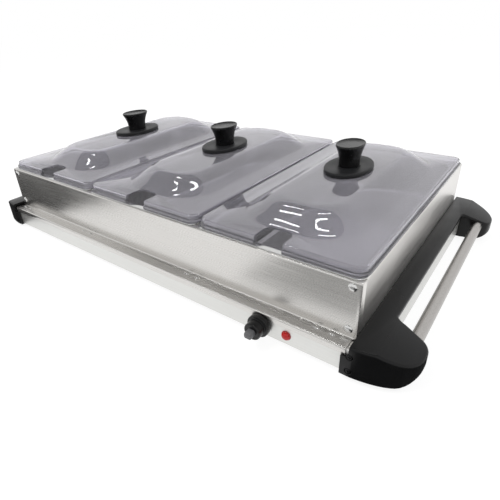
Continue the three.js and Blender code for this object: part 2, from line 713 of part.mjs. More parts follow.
function handleTube(name, side) {
  const end = ARM_INNER_Y + SOCKET_DEPTH;
  const inner = HANDLE_RADIUS - HANDLE_WALL;
  const profile = [
    [inner, -end],
    [HANDLE_RADIUS, -end],
    [HANDLE_RADIUS, end],
    [inner, end],
    [inner, -end],
  ];
  return piece(name, turned(profile, side * HANDLE_X, HANDLE_Z), "brushedSteel");
}

function foot(name, side, face) {
  const profile = [
    [0, 0],
    [FOOT_RADIUS - 1, 0],
    [FOOT_RADIUS, 1],
    [FOOT_RADIUS, FOOT_HEIGHT],
    [FOOT_STEM_RADIUS, FOOT_HEIGHT],
    [FOOT_STEM_RADIUS, FOOT_HEIGHT + FOOT_STEM_LENGTH],
    [0, FOOT_HEIGHT + FOOT_STEM_LENGTH],
  ];
  return piece(name, turnedUp(profile, side * FOOT_X, face * FOOT_Y), "rubber");
}

function capScrew(name, side, face, rise) {
  const top = CAP_Y - FIT;
  const under = top - CAP_SCREW_HEAD_HEIGHT;
  const tip = under - CAP_SCREW_LENGTH;
  const profile = [
    [0, top],
    [CAP_SCREW_HEAD_RADIUS, top],
    [CAP_SCREW_HEAD_RADIUS, under],
    [CAP_SCREW_RADIUS, under],
    [CAP_SCREW_RADIUS, tip],
    [0, tip],
  ];
  const facing = face < 0 ? profile.map(([radius, y]) => [radius, -y]) : profile.reverse();
  return piece(name, turned(facing, side * CAP_SCREW_X, rise, SMALL_STEPS), "zinc");
}

// ---------------------------------------------------------------- pan frame

/** Rivet places on one face, as [x, z]. */
const RIVET_PLACES = [-1, 1].flatMap((side) => [
  [side * (FRAME_X - RIVET_FROM_END), PLATE_TOP + RIVET_FROM_BASE],
  [side * (FRAME_X - RIVET_FROM_END), FRAME_TOP - RIVET_FROM_TOP],
]);

function rivetHoles(face) {
  const span = [face * (FRAME_Y + 1), face * (FRAME_Y - 3 * SHEET)].sort((a, b) => a - b);
  return RIVET_PLACES.map(([x, z]) => rodY(RIVET_RADIUS + FIT, x, z, span, SMALL_STEPS));
}

/** Front or back wall: top flange for the pan rims, and a ledge with a lip that hooks the base. */
function framePanel(name, face) {
  const wall = box([-FRAME_X, FRAME_X], [FRAME_Y - SHEET, FRAME_Y], [PLATE_TOP, FRAME_TOP]);
  const flange = box(
    [-FRAME_X + SHEET, FRAME_X - SHEET],
    [FRAME_Y - FRAME_TOP_FLANGE, FRAME_Y - SHEET / 2],
    [FRAME_TOP - SHEET, FRAME_TOP],
  );
  const ledge = box([-LEDGE_X, LEDGE_X], [FRAME_Y - SHEET / 2, LIP_Y], [PLATE_TOP, LEDGE_TOP]);
  const lip = box([-LEDGE_X, LEDGE_X], [LIP_Y - SHEET, LIP_Y], [LIP_BOTTOM, LEDGE_TOP]);
  const solid = cut(union(wall, flange, ledge, lip), ...rivetHoles(1));
  return piece(name, face > 0 ? solid : solid.mirror([0, 1, 0]), "brushedSteel");
}

/** End wall with a tab at each end, riveted behind the front and back walls. */
function frameEnd(name, side) {
  const outerY = FRAME_Y - SHEET;
  const wall = box([FRAME_X - SHEET, FRAME_X], [-outerY, outerY], [PLATE_TOP, FRAME_TOP]);
  const flangeY = FRAME_Y - FRAME_TOP_FLANGE;
  const flange = box(
    [FRAME_X - FRAME_TOP_FLANGE, FRAME_X - SHEET / 2],
    [-flangeY, flangeY],
    [FRAME_TOP - SHEET, FRAME_TOP],
  );
  const tabSpan = [PLATE_TOP + TAB_MARGIN, FRAME_TOP - TAB_MARGIN];
  const tabs = Object.values(FACES).map((face) => {
    const across = [face * outerY, face * (outerY - SHEET)].sort((a, b) => a - b);
    return box([FRAME_X - TAB_WIDTH, FRAME_X - SHEET / 2], across, tabSpan);
  });
  const solid = cut(union(wall, flange, ...tabs), ...rivetHoles(-1), ...rivetHoles(1));
  return piece(name, side > 0 ? solid : solid.mirror([1, 0, 0]), "brushedSteel");
}

/** Domed rivet through a wall and the tab behind it. */
function rivet(name, face, [x, z]) {
  const headSteps = 3;
  const tail = FRAME_Y - 2 * SHEET;
  const profile = [
    [0, tail - 1.2],
    [RIVET_RADIUS + 1, tail - 1.2],
    [RIVET_RADIUS + 1, tail],
    [RIVET_RADIUS, tail],
    [RIVET_RADIUS, FRAME_Y],
  ];
  for (let i = 0; i <= headSteps; i += 1) {
    const angle = (Math.PI / 2) * (i / headSteps);
    profile.push([RIVET_HEAD_RADIUS * Math.cos(angle), FRAME_Y + RIVET_HEAD_HEIGHT * Math.sin(angle)]);
  }
  profile[profile.length - 1][0] = 0;
  const solid = turned(profile, x, z, SMALL_STEPS);
  return piece(name, face > 0 ? solid : solid.mirror([0, 1, 0]), "polishedSteel");
}

/** Channel between two pans. Its legs reach the walls, under their flanges. */
function panDivider(name, x) {
  const half = DIVIDER_WIDTH / 2;
  const topY = FRAME_Y - FRAME_TOP_FLANGE;
  const legY = FRAME_Y - SHEET;
  const top = box([x - half, x + half], [-topY, topY], [FRAME_TOP - SHEET, FRAME_TOP]);
  const legs = [-1, 1].map((side) => {
    const across = [x + side * half, x + side * (half - SHEET)].sort((a, b) => a - b);
    return union(
      box(across, [-topY, topY], [FRAME_TOP - DIVIDER_DROP, FRAME_TOP - SHEET / 2]),
      box(across, [-legY, legY], [FRAME_TOP - DIVIDER_DROP, FRAME_TOP - SHEET]),
    );
  });
  return piece(name, union(top, ...legs), "brushedSteel");
}

// ---------------------------------------------------------------- pans

/** Pan body half size just under the rim: it clears the flange and the divider. */
function panBodyHalf() {
  const outerPanX = PAN_XS[PAN_XS.length - 1];
  const toFlange = FRAME_X - FRAME_TOP_FLANGE - outerPanX;
  const toDivider = (PAN_PITCH - DIVIDER_WIDTH) / 2;
  return [Math.min(toFlange, toDivider) - 2 * FIT, FRAME_Y - FRAME_TOP_FLANGE - 2 * FIT];
}

/** Pressed pan with a flat rim that rests on the frame's flanges. */
function pan(name, x) {
  const body = panBodyHalf();
  const floor = PLATE_TOP + PAN_FLOOR_GAP;
  const rim = PAN_RIM_HALF;
  const foot = inset(body, PAN_DRAFT);
  const bend = 7;
  const rings = [
    centre(floor),
    { half: inset(foot, bend), z: floor, corner: PAN_CORNER - bend },
    { half: inset(foot, bend * 0.3), z: floor + bend * 0.3, corner: PAN_CORNER - bend * 0.3 },
    { half: foot, z: floor + bend, corner: PAN_CORNER },
    { half: body, z: FRAME_TOP - 1, corner: PAN_CORNER },
    { half: body, z: FRAME_TOP, corner: PAN_CORNER },
    { half: rim, z: FRAME_TOP, corner: PAN_RIM_CORNER },
    { half: rim, z: FRAME_TOP + SHEET, corner: PAN_RIM_CORNER },
    { half: inset(body, SHEET - 1), z: FRAME_TOP + SHEET, corner: PAN_CORNER },
    { half: inset(body, SHEET), z: FRAME_TOP - 0.5, corner: PAN_CORNER - SHEET },
    { half: inset(foot, SHEET), z: floor + bend, corner: PAN_CORNER - SHEET },
    { half: inset(foot, bend * 0.3 + SHEET), z: floor + bend * 0.3 + SHEET, corner: PAN_CORNER - bend * 0.3 },
    { half: inset(foot, bend + SHEET), z: floor + SHEET, corner: PAN_CORNER - bend - SHEET },
    centre(floor + SHEET),
  ];
  return piece(name, ringed(rings).translate([x, 0, 0]), "polishedSteel");
}

// ---------------------------------------------------------------- lids

/** Rings of the dome between its top edge and its base, at a depth below the outer skin. */
function domeRings(below) {
  const shares = [0, 0.16, 0.36, 0.62, 0.85, 1];
  return shares.map((share) => ({
    half: DOME_TOP_HALF.map((top, axis) => top + (DOME_BASE_HALF[axis] - top) * share),
    corner: DOME_TOP_CORNER + (DOME_BASE_CORNER - DOME_TOP_CORNER) * share,
    z: DOME_TOP - DOME_RISE * ease(share) - below,
  }));
}

/** Clear lid: a stepped lip that sits on the pan rim, a flat margin and a long soft dome. */
function lid(name, x) {
  const band = inset(LID_HALF, LID_STEP);
  const stepZ = LID_SEAT + LID_LIP_HEIGHT;
  const underside = [
    centre(DOME_TOP - LID_WALL),
    ...domeRings(LID_WALL),
    { half: inset(band, LID_WALL), z: LID_TOP - LID_WALL, corner: LID_CORNER - LID_WALL },
    { half: inset(LID_HALF, LID_WALL + LID_STEP), z: LID_SEAT, corner: LID_CORNER - LID_STEP },
  ];
  const outside = [
    { half: LID_HALF, z: LID_SEAT, corner: LID_CORNER + LID_STEP },
    { half: LID_HALF, z: stepZ, corner: LID_CORNER + LID_STEP },
    { half: band, z: stepZ, corner: LID_CORNER },
    { half: band, z: LID_TOP - LID_EDGE, corner: LID_CORNER },
    { half: inset(band, LID_EDGE * 0.3), z: LID_TOP - LID_EDGE * 0.3, corner: LID_CORNER - LID_EDGE * 0.3 },
    { half: inset(band, LID_EDGE), z: LID_TOP, corner: LID_CORNER - LID_EDGE },
    ...domeRings(0).reverse(),
    centre(DOME_TOP),
  ];
  const solid = cut(
    ringed([...underside, ...outside]),
    prism(notchShape(), [LID_SEAT - 1, DOME_TOP + 1], 5),
    rodZ(LID_SCREW_RADIUS + FIT, 0, 0, [LID_TOP, DOME_TOP + 1], SMALL_STEPS),
  );
  return piece(name, solid.translate([x, 0, 0]), "clearPlastic");
}

/** Spoon notch in the lid's front edge, with rounded back corners. */
function notchShape() {
  const half = NOTCH_WIDTH / 2;
  const back = -LID_HALF[1] + NOTCH_DEPTH;
  const front = -LID_HALF[1] - 1;
  const left = NOTCH_SHIFT - half;
  const right = NOTCH_SHIFT + half;
  const shape = new THREE.Shape();
  shape.moveTo(left, front);
  shape.lineTo(right, front);
  shape.lineTo(right, back - NOTCH_CORNER);
  shape.quadraticCurveTo(right, back, right - NOTCH_CORNER, back);
  shape.lineTo(left + NOTCH_CORNER, back);
  shape.quadraticCurveTo(left, back, left, back - NOTCH_CORNER);
  shape.closePath();
  return shape;
}

/** Oval seat plate under a lid's grip. */
function gripPlate(name, x) {
  const rings = [
    centre(DOME_TOP),
    { half: inset(PLATE_HALF, 0.8), z: DOME_TOP },
    { half: PLATE_HALF, z: DOME_TOP + 1 },
    { half: PLATE_HALF, z: DOME_TOP + PLATE_HEIGHT - 1.2 },
    { half: inset(PLATE_HALF, 1.2), z: DOME_TOP + PLATE_HEIGHT },
    centre(DOME_TOP + PLATE_HEIGHT),
  ];
  const hole = rodZ(LID_SCREW_RADIUS + FIT, 0, 0, [DOME_TOP - 1, DOME_TOP + PLATE_HEIGHT + 1], SMALL_STEPS);
  return piece(name, cut(ringed(rings, 4), hole).translate([x, 0, 0]), "blackPlastic");
}

/** Oval grip that flares towards a dished top. */
function lidGrip(name, x) {
  const base = DOME_TOP + PLATE_HEIGHT;
  const top = base + GRIP_HEIGHT;
  const flare = [0, 0.3, 0.6, 0.85, 1];
  const sides = flare.map((share) => ({
    half: GRIP_WAIST_HALF.map((waist, axis) => waist + (GRIP_TOP_HALF[axis] - waist) * share ** 2.2),
    z: base + (GRIP_HEIGHT - 2) * share,
  }));
  const rings = [
    centre(base),
    ...sides,
    { half: GRIP_TOP_HALF, z: top - 1 },
    { half: inset(GRIP_TOP_HALF, 1.2), z: top },
    { half: inset(GRIP_TOP_HALF, 2.4), z: top - 0.4 },
    { half: inset(GRIP_TOP_HALF, 7), z: top - GRIP_DISH },
    centre(top - GRIP_DISH),
  ];
  const bore = rodZ(LID_SCREW_RADIUS + FIT, 0, 0, [base - 1, base + LID_SCREW_BITE + FIT], SMALL_STEPS);
  return piece(name, cut(ringed(rings, 4), bore).translate([x, 0, 0]), "knobPlastic");
}

function gripScrew(name, x) {
  const under = DOME_TOP - LID_WALL;
  const tip = DOME_TOP + PLATE_HEIGHT + LID_SCREW_BITE;
  const profile = [
    [0, under - LID_SCREW_HEAD_HEIGHT],
    [LID_SCREW_HEAD_RADIUS - 1, under - LID_SCREW_HEAD_HEIGHT],
    [LID_SCREW_HEAD_RADIUS, under - 1],
    [LID_SCREW_HEAD_RADIUS, under],
    [LID_SCREW_RADIUS, under],
    [LID_SCREW_RADIUS, tip],
    [0, tip],
  ];
  return piece(name, turnedUp(profile, x, 0, SMALL_STEPS), "zinc");
}

// ---------------------------------------------------------------- assembly

function heatedBase() {
  const base = new THREE.Group();
  base.add(warmingPlate(), baseHousing(), bottomCover());
  base.add(heatingElement(), insulationPad(), thermalFuse(), terminalBlock(), cordGland());
  base.add(thermostatBody(), thermostatShaft(), controlKnob(), indicatorLens(), indicatorLamp());
  for (const [faceName, face] of Object.entries(FACES)) {
    base.add(coverScrew(`cover_screw_${faceName}`, face));
  }
  for (const [sideName, side] of Object.entries(SIDES)) {
    base.add(endCap(`${sideName}_end_cap`, side), handleTube(`${sideName}_handle_tube`, side));
    for (const [faceName, face] of Object.entries(FACES)) {
      base.add(foot(`foot_${faceName}_${sideName}`, side, face));
      CAP_SCREW_RISES.forEach((rise, i) => {
        const name = `cap_screw_${faceName}_${sideName}_${i + 1}`;
        base.add(capScrew(name, side, face, rise));
      });
    }
  }
  return base;
}

function panFrame() {
  const frame = new THREE.Group();
  for (const [faceName, face] of Object.entries(FACES)) {
    frame.add(framePanel(`frame_${faceName}_panel`, face));
    RIVET_PLACES.forEach((place, i) => {
      frame.add(rivet(`rivet_${faceName}_${i + 1}`, face, place));
    });
  }
  for (const [sideName, side] of Object.entries(SIDES)) {
    frame.add(frameEnd(`frame_${sideName}_panel`, side));
    frame.add(panDivider(`pan_divider_${sideName}`, (side * PAN_PITCH) / 2));
  }
  return frame;
}

function pansAndLids() {
  const group = new THREE.Group();
  PAN_XS.forEach((x, i) => {
    const name = PAN_NAMES[i];
    group.add(pan(`${name}_pan`, x), lid(`${name}_lid`, x));
    group.add(gripPlate(`${name}_grip_plate`, x), lidGrip(`${name}_lid_grip`, x));
    group.add(gripScrew(`${name}_grip_screw`, x));
  });
  return group;
}

const server = new THREE.Group();
server.add(heatedBase(), panFrame(), pansAndLids());
server.position.y = (CONTROL_FRONT_Y - GLAND_BACK_Y) / 2;

export default server;
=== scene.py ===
"""Electric buffet server: three lidded steel pans in a riveted frame on a warming base.

Every new piece is built in millimetres about the middle of the pan frame, and is scaled
to metres and moved to its place once, when it is finished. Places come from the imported
model's boxes.
"""

import logging
import math
from collections.abc import Callable, Iterable, Sequence
from dataclasses import dataclass
from enum import Enum

import bmesh
import bpy
from bmesh.types import BMEdge, BMesh, BMVert
from mathutils import Euler, Matrix, Vector
from mathutils.geometry import interpolate_bezier


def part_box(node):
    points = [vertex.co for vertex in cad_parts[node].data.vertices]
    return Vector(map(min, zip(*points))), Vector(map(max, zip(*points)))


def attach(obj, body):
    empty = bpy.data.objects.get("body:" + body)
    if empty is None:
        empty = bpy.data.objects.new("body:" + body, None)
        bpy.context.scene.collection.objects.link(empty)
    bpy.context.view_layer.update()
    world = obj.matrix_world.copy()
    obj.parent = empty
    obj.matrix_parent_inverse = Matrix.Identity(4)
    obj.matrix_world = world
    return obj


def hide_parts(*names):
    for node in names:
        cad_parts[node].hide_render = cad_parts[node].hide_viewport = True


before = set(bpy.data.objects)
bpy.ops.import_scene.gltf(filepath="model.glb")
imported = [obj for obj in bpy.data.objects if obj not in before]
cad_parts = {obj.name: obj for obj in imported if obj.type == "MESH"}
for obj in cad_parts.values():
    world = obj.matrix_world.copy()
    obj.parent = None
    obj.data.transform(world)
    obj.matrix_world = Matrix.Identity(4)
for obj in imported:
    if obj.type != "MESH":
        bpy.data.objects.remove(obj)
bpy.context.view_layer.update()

LOG = logging.getLogger("buffet_server")
MM = 0.001
CENTRE = (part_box("warming_plate")[0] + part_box("warming_plate")[1]) / 2
CENTRE.z = 0
Point = tuple[float, float]


class Side(Enum):
    """The two ends of the server."""

    LEFT = -1
    RIGHT = 1

    @property
    def word(self) -> str:
        """The side's name as it stands in the names of nodes."""
        return self.name.lower()


class Facing(Enum):
    """The front and the back of the server."""

    FRONT = -1
    BACK = 1

    @property
    def word(self) -> str:
        """The direction's name as it stands in the names of nodes."""
        return self.name.lower()


class Grain(Enum):
    """How a brushed pattern is squeezed along each axis, so that it runs along one."""

    ALONG_X = (0.012, 1.0, 1.0)
    ALONG_Y = (1.0, 0.012, 1.0)
    AROUND_TUBE = (1.0, 0.3, 1.0)


def cad_box(node: str) -> tuple[Vector, Vector]:
    """Give the box of a CAD node in millimetres about the middle of the frame.

    Args:
        node: Name of the CAD node.

    Returns:
        The lowest and the highest corner.
    """
    low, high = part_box(node)
    return (low - CENTRE) / MM, (high - CENTRE) / MM


# ---------------------------------------------------------------- finishes


def linear(hex_colour: str) -> tuple[float, float, float, float]:
    """Turn an sRGB hex colour into linear light.

    Args:
        hex_colour: Six hex digits.

    Returns:
        Red, green, blue and an alpha of one.
    """
    shares = [int(hex_colour[i : i + 2], 16) / 255 for i in (0, 2, 4)]
    light = [s / 12.92 if s <= 0.04045 else ((s + 0.055) / 1.055) ** 2.4 for s in shares]
    return (*light, 1.0)


def per_metre(spacing_mm: float) -> float:
    """Give the texture scale whose features lie a spacing in millimetres apart."""
    return 1 / (spacing_mm * MM)


def add_node(
    tree: bpy.types.NodeTree,
    kind: str,
    settings: dict[str, object] | None = None,
    inputs: dict[str | int, object] | None = None,
) -> bpy.types.Node:
    """Add a node with its settings and links.

    Args:
        tree: Node tree that takes the node.
        kind: Blender's name for the node type.
        settings: Node properties by name.
        inputs: Values, or sockets to link from, by input name or number.

    Returns:
        The new node.
    """
    node = tree.nodes.new(kind)
    for key, value in (settings or {}).items():
        setattr(node, key, value)
    for key, value in (inputs or {}).items():
        if isinstance(value, bpy.types.NodeSocket):
            tree.links.new(value, node.inputs[key])
        else:
            node.inputs[key].default_value = value
    return node


@dataclass(frozen=True)
class Skin:
    """One material's nodes, with the kinds of detail that the finishes share."""

    tree: bpy.types.NodeTree
    shader: bpy.types.Node
    place: bpy.types.NodeSocket

    def noise(
        self,
        spacing_mm: float,
        detail: float,
        stretch: Sequence[float] | None = None,
        roughness: float = 0.5,
    ) -> bpy.types.NodeSocket:
        """Give a noise whose features lie a spacing apart.

        Args:
            spacing_mm: Spacing of its features.
            detail: Octaves of finer noise.
            stretch: Scale along each axis, or None for the same all round.
            roughness: Strength of the finer octaves.

        Returns:
            The socket that carries it.
        """
        place = self.place
        if stretch is not None:
            inputs = {"Vector": place, "Scale": stretch}
            place = add_node(self.tree, "ShaderNodeMapping", inputs=inputs).outputs["Vector"]
        inputs = {
            "Vector": place,
            "Scale": per_metre(spacing_mm),
            "Detail": detail,
            "Roughness": roughness,
        }
        return add_node(self.tree, "ShaderNodeTexNoise", inputs=inputs).outputs["Fac"]

    def tone(self, mask: bpy.types.NodeSocket, dark: str, light: str) -> None:
        """Mix the colour from two hex tones by a mask."""
        inputs = {0: mask, 6: linear(dark), 7: linear(light)}
        mixed = add_node(self.tree, "ShaderNodeMix", {"data_type": "RGBA"}, inputs)
        self.tree.links.new(mixed.outputs[2], self.shader.inputs["Base Color"])

    def gloss(self, mask: bpy.types.NodeSocket, span: Point, roughness: Point) -> None:
        """Vary the roughness by a mask.

        Args:
            mask: Socket that carries the mask.
            span: Values of the mask that give the two roughnesses.
            roughness: Roughness at either end of the span.
        """
        inputs = dict(
            zip(("Value", "From Min", "From Max", "To Min", "To Max"), (mask, *span, *roughness))
        )
        ranged = add_node(self.tree, "ShaderNodeMapRange", inputs=inputs)
        self.tree.links.new(ranged.outputs["Result"], self.shader.inputs["Roughness"])

    def relief(self, height: bpy.types.NodeSocket, strength: float, depth_mm: float) -> None:
        """Raise the surface by a height, to a depth in millimetres."""
        inputs = {"Height": height, "Strength": strength, "Distance": depth_mm * MM}
        bump = add_node(self.tree, "ShaderNodeBump", inputs=inputs)
        self.tree.links.new(bump.outputs["Normal"], self.shader.inputs["Normal"])


@dataclass(frozen=True)
class Finish:
    """A surface finish: what every one of them has, and how its material is made."""

    name: str
    slot: str
    colour: str
    roughness: float
    metallic: float = 0.0

    def material(self) -> bpy.types.Material:
        """Give the finish's material, made once and then shared.

        Returns:
            The material.
        """
        made = bpy.data.materials.get(self.name)
        if made is None:
            made = bpy.data.materials.new(self.name)
            made.use_nodes = True
            tree = made.node_tree
            shader = tree.nodes["Principled BSDF"]
            shader.inputs["Base Color"].default_value = linear(self.colour)
            shader.inputs["Roughness"].default_value = self.roughness
            shader.inputs["Metallic"].default_value = self.metallic
            place = add_node(tree, "ShaderNodeTexCoord").outputs["Object"]
            self.dress(Skin(tree, shader, place))
        return made

    def dress(self, skin: Skin) -> None:
        """Add the finish's own detail; a bare finish has none."""

    def rough(self, smoother: float, rougher: float) -> Point:
        """Give the roughness at either end of the finish's gloss."""
        return self.roughness - smoother, self.roughness + rougher


@dataclass(frozen=True)
class BrushedSteel(Finish):
    """Stainless sheet rubbed with abrasive belt: long parallel scratches that blur reflections.

    The real scratches are about 0.15 mm apart. They are drawn coarser so that they show.
    """

    metallic: float = 1.0
    grain: Grain = Grain.ALONG_X
    spacing_mm: float = 0.9
    cloud_mm: float = 70.0
    dark: str = "B3B0AB"
    depth_mm: float = 0.02

    def dress(self, skin: Skin) -> None:
        """Draw long scratches and faint broad clouds from handling."""
        scratches = skin.noise(self.spacing_mm, 3.0, self.grain.value, 0.62)
        clouds = skin.noise(self.cloud_mm, 2.0)
        skin.tone(scratches, self.dark, self.colour)
        inputs = {0: clouds, 1: 0.5, 2: scratches}
        both = add_node(skin.tree, "ShaderNodeMath", {"operation": "MULTIPLY_ADD"}, inputs)
        skin.gloss(both.outputs["Value"], (0.45, 1.05), self.rough(0.07, 0.08))
        skin.relief(scratches, 0.22, self.depth_mm)


@dataclass(frozen=True)
class PressedSteel(Finish):
    """Bright rolled stainless, deep drawn: near mirror, with slow waves from the press."""

    metallic: float = 1.0
    wave_mm: float = 26.0
    haze_mm: float = 9.0
    depth_mm: float = 0.25

    def dress(self, skin: Skin) -> None:
        """Draw drawing waves and a fine haze in the gloss."""
        skin.gloss(skin.noise(self.haze_mm, 2.0), (0.3, 0.7), self.rough(0.02, 0.03))
        skin.relief(skin.noise(self.wave_mm, 1.0), 0.3, self.depth_mm)


@dataclass(frozen=True)
class MouldedPlastic(Finish):
    """Injection-moulded plastic with a spark-eroded skin: a soft sheen over fine grain.

    The real grain is about 0.2 mm. It is drawn coarser so that it shows.
    """

    specular: float = 0.5
    grain_mm: float = 0.5
    flow_mm: float = 22.0
    depth_mm: float = 0.03
    shade: str = "0C0C0D"

    def dress(self, skin: Skin) -> None:
        """Draw the grain, and slow changes of tone from the melt's flow."""
        skin.shader.inputs["Specular IOR Level"].default_value = self.specular
        inputs = {"Vector": skin.place, "Scale": per_metre(self.grain_mm)}
        grain = add_node(skin.tree, "ShaderNodeTexVoronoi", inputs=inputs)
        flow = skin.noise(self.flow_mm, 2.0)
        skin.tone(flow, self.shade, self.colour)
        skin.gloss(flow, (0.3, 0.7), self.rough(0.04, 0.04))
        skin.relief(grain.outputs["Distance"], 0.3, self.depth_mm)


@dataclass(frozen=True)
class ClearPlastic(Finish):
    """Moulded clear plastic: refracts, tints faintly, and has slow waves from the mould."""

    ior: float = 1.57
    wave_mm: float = 34.0
    depth_mm: float = 0.08
    transmission: float = 1.0

    def dress(self, skin: Skin) -> None:
        """Let light through and draw the mould's waves."""
        skin.shader.inputs["Transmission Weight"].default_value = self.transmission
        skin.shader.inputs["IOR"].default_value = self.ior
        skin.relief(skin.noise(self.wave_mm, 1.0), 0.3, self.depth_mm)


@dataclass(frozen=True)
class Grainy(Finish):
    """A matt body with lumps or fibres of one size, such as rubber, fired clay or wool."""

    grain_mm: float = 1.0
    depth_mm: float = 0.1
    shade: str = "101010"

    def dress(self, skin: Skin) -> None:
        """Mix two tones by the grain and raise it."""
        grain = skin.noise(self.grain_mm, 5.0)
        skin.tone(grain, self.shade, self.colour)
        skin.relief(grain, 0.5, self.depth_mm)


# Belt-brushed 430 stainless sheet: grey with warm light, scratches along each panel.
WALL_STEEL = BrushedSteel("brushed_stainless_wall", "brushed_steel", "DCDAD7", 0.28, dark="C6C4C1")
END_STEEL = BrushedSteel(
    "brushed_stainless_end", "brushed_steel", "EBE9E6", 0.34, grain=Grain.ALONG_Y, dark="DAD8D5"
)
# Brushed stainless tube: scratches round it, so its highlight is a clean stripe.
TUBE_STEEL = BrushedSteel(
    "brushed_stainless_tube",
    "brushed_steel",
    "C3C0BD",
    0.34,
    grain=Grain.AROUND_TUBE,
    spacing_mm=0.7,
    dark="979491",
)
# Satin rolled stainless: paler and smoother than the brushed walls.
HOUSING_STEEL = BrushedSteel(
    "satin_stainless_housing", "satin_steel", "E2E2E0", 0.42, dark="D2D2CF", depth_mm=0.01
)
# Deep-drawn bright stainless, as pans are.
PAN_STEEL = PressedSteel("pressed_stainless_pan", "bright_steel", "D0D0CF", 0.17)
RIVET_STEEL = PressedSteel(
    "bright_steel_rivet", "bright_steel", "D4D4D3", 0.2, wave_mm=6.0, depth_mm=0.006
)
# Zinc-plated steel: cool grey with a dull shine.
ZINC_STEEL = PressedSteel(
    "zinc_plated_steel", "zinc_steel", "9A9A98", 0.36, wave_mm=5.0, depth_mm=0.05
)
# Black-oxide screws: nearly lost in the black caps.
BLACK_STEEL = PressedSteel(
    "black_oxide_steel", "zinc_steel", "2A2A2B", 0.38, wave_mm=3.0, depth_mm=0.05
)
# Oxidised nickel-alloy sheath: dark grey-brown from its own heat.
SHEATH = PressedSteel(
    "oxidised_alloy_sheath", "element_sheath", "5C5650", 0.45, wave_mm=4.0, depth_mm=0.1
)
# Moulded ABS with a spark-eroded skin: satin black.
CAP_PLASTIC = MouldedPlastic(
    "satin_black_abs", "black_plastic", "0F0F10", 0.31, specular=0.24, shade="080809"
)
PLATE_PLASTIC = MouldedPlastic("matt_black_nylon", "black_plastic", "242527", 0.46, specular=0.3)
# Compression-moulded phenolic: smoother and darker than the caps.
GRIP_PLASTIC = MouldedPlastic(
    "smooth_black_phenolic", "knob_plastic", "0F0F10", 0.27, specular=0.32, depth_mm=0.01
)
# The knob's tip, coloured satin mid-grey on the black knob.
POINTER_PLASTIC = MouldedPlastic(
    "grey_pointer_nylon", "knob_plastic", "6E6E70", 0.42, specular=0.4, shade="5F5F61"
)
# Clear styrene-acrylonitrile: glassy with a faint cool grey.
LID_PLASTIC = ClearPlastic(
    "clear_san_plastic", "clear_plastic", "E6E4EC", 0.02, depth_mm=0.012, transmission=0.86
)
# Transparent red acrylic: glows where light crosses it.
LENS_PLASTIC = ClearPlastic(
    "transparent_red_acrylic",
    "red_plastic",
    "D81414",
    0.05,
    ior=1.49,
    wave_mm=6.0,
    depth_mm=0.01,
    transmission=0.45,
)
# Neoprene: matt black with a dusty bloom.
FOOT_RUBBER = Grainy(
    "neoprene_rubber", "foot_rubber", "222223", 0.8, grain_mm=0.6, depth_mm=0.05, shade="151516"
)
# Loose mineral fibre pressed to a pad: cream and open.
WOOL = Grainy(
    "mineral_wool", "mineral_wool", "DCD4BC", 0.95, grain_mm=2.5, depth_mm=0.8, shade="A99E80"
)
# Fired steatite: off-white and finely pitted.
STEATITE = Grainy(
    "fired_steatite", "ceramic", "E8E2D4", 0.55, grain_mm=0.8, depth_mm=0.05, shade="D2CBBA"
)


# ---------------------------------------------------------------- shape helpers


def spread(verts: Iterable[BMVert], move: Callable[[Vector], Vector]) -> None:
    """Move vertices by a rule that gives each its new place."""
    for vert in verts:
        vert.co = move(vert.co)


def tidy(bm: BMesh, gap: float = 1e-4) -> BMesh:
    """Merge doubled points and turn every face outward.

    Args:
        bm: Closed mesh.
        gap: Merge distance in millimetres.

    Returns:
        The same mesh.
    """
    bmesh.ops.remove_doubles(bm, verts=bm.verts[:], dist=gap)
    bmesh.ops.recalc_face_normals(bm, faces=bm.faces[:])
    return bm


def soften(
    bm: BMesh,
    width: float,
    segments: int = 2,
    least_deg: float = 35.0,
    clamped: bool = True,
) -> BMesh:
    """Round every sharp edge.

    Args:
        bm: Mesh whose edges are rounded.
        width: Bevel width in millimetres.
        segments: Faces across the bevel.
        least_deg: Edges that turn by less than this stay.
        clamped: True where bevels that would meet are kept apart.

    Returns:
        The same mesh.
    """
    sharp = [
        edge
        for edge in bm.edges
        if len(edge.link_faces) == 2 and edge.calc_face_angle(0) > math.radians(least_deg)
    ]
    bmesh.ops.bevel(
        bm,
        geom=sharp,
        offset=width,
        offset_type="OFFSET",
        affect="EDGES",
        segments=segments,
        profile=0.5,
        material=-1,
        clamp_overlap=clamped,
    )
    return bm


@dataclass(frozen=True)
class Level:
    """One level outline of a stacked shape; without a corner radius it is an ellipse."""

    half_x: float
    half_y: float
    z: float
    corner: float | None = None

    def shape(self, ring: Sequence[BMVert]) -> None:
        """Draw a ring of points out to this outline.

        Args:
            ring: Points in order round the Z axis, the same number in each quarter.
        """
        turn = math.pi / len(ring)
        for number, vert in enumerate(ring):
            angle = turn * (2 * number + 1)
            way = Vector((math.cos(angle), math.sin(angle))) / math.cos(turn)
            if self.corner is None:
                vert.co = (way.x * self.half_x, way.y * self.half_y, self.z)
                continue
            reach_x = math.copysign(self.half_x - self.corner, way.x)
            reach_y = math.copysign(self.half_y - self.corner, way.y)
            vert.co = (reach_x + way.x * self.corner, reach_y + way.y * self.corner, self.z)


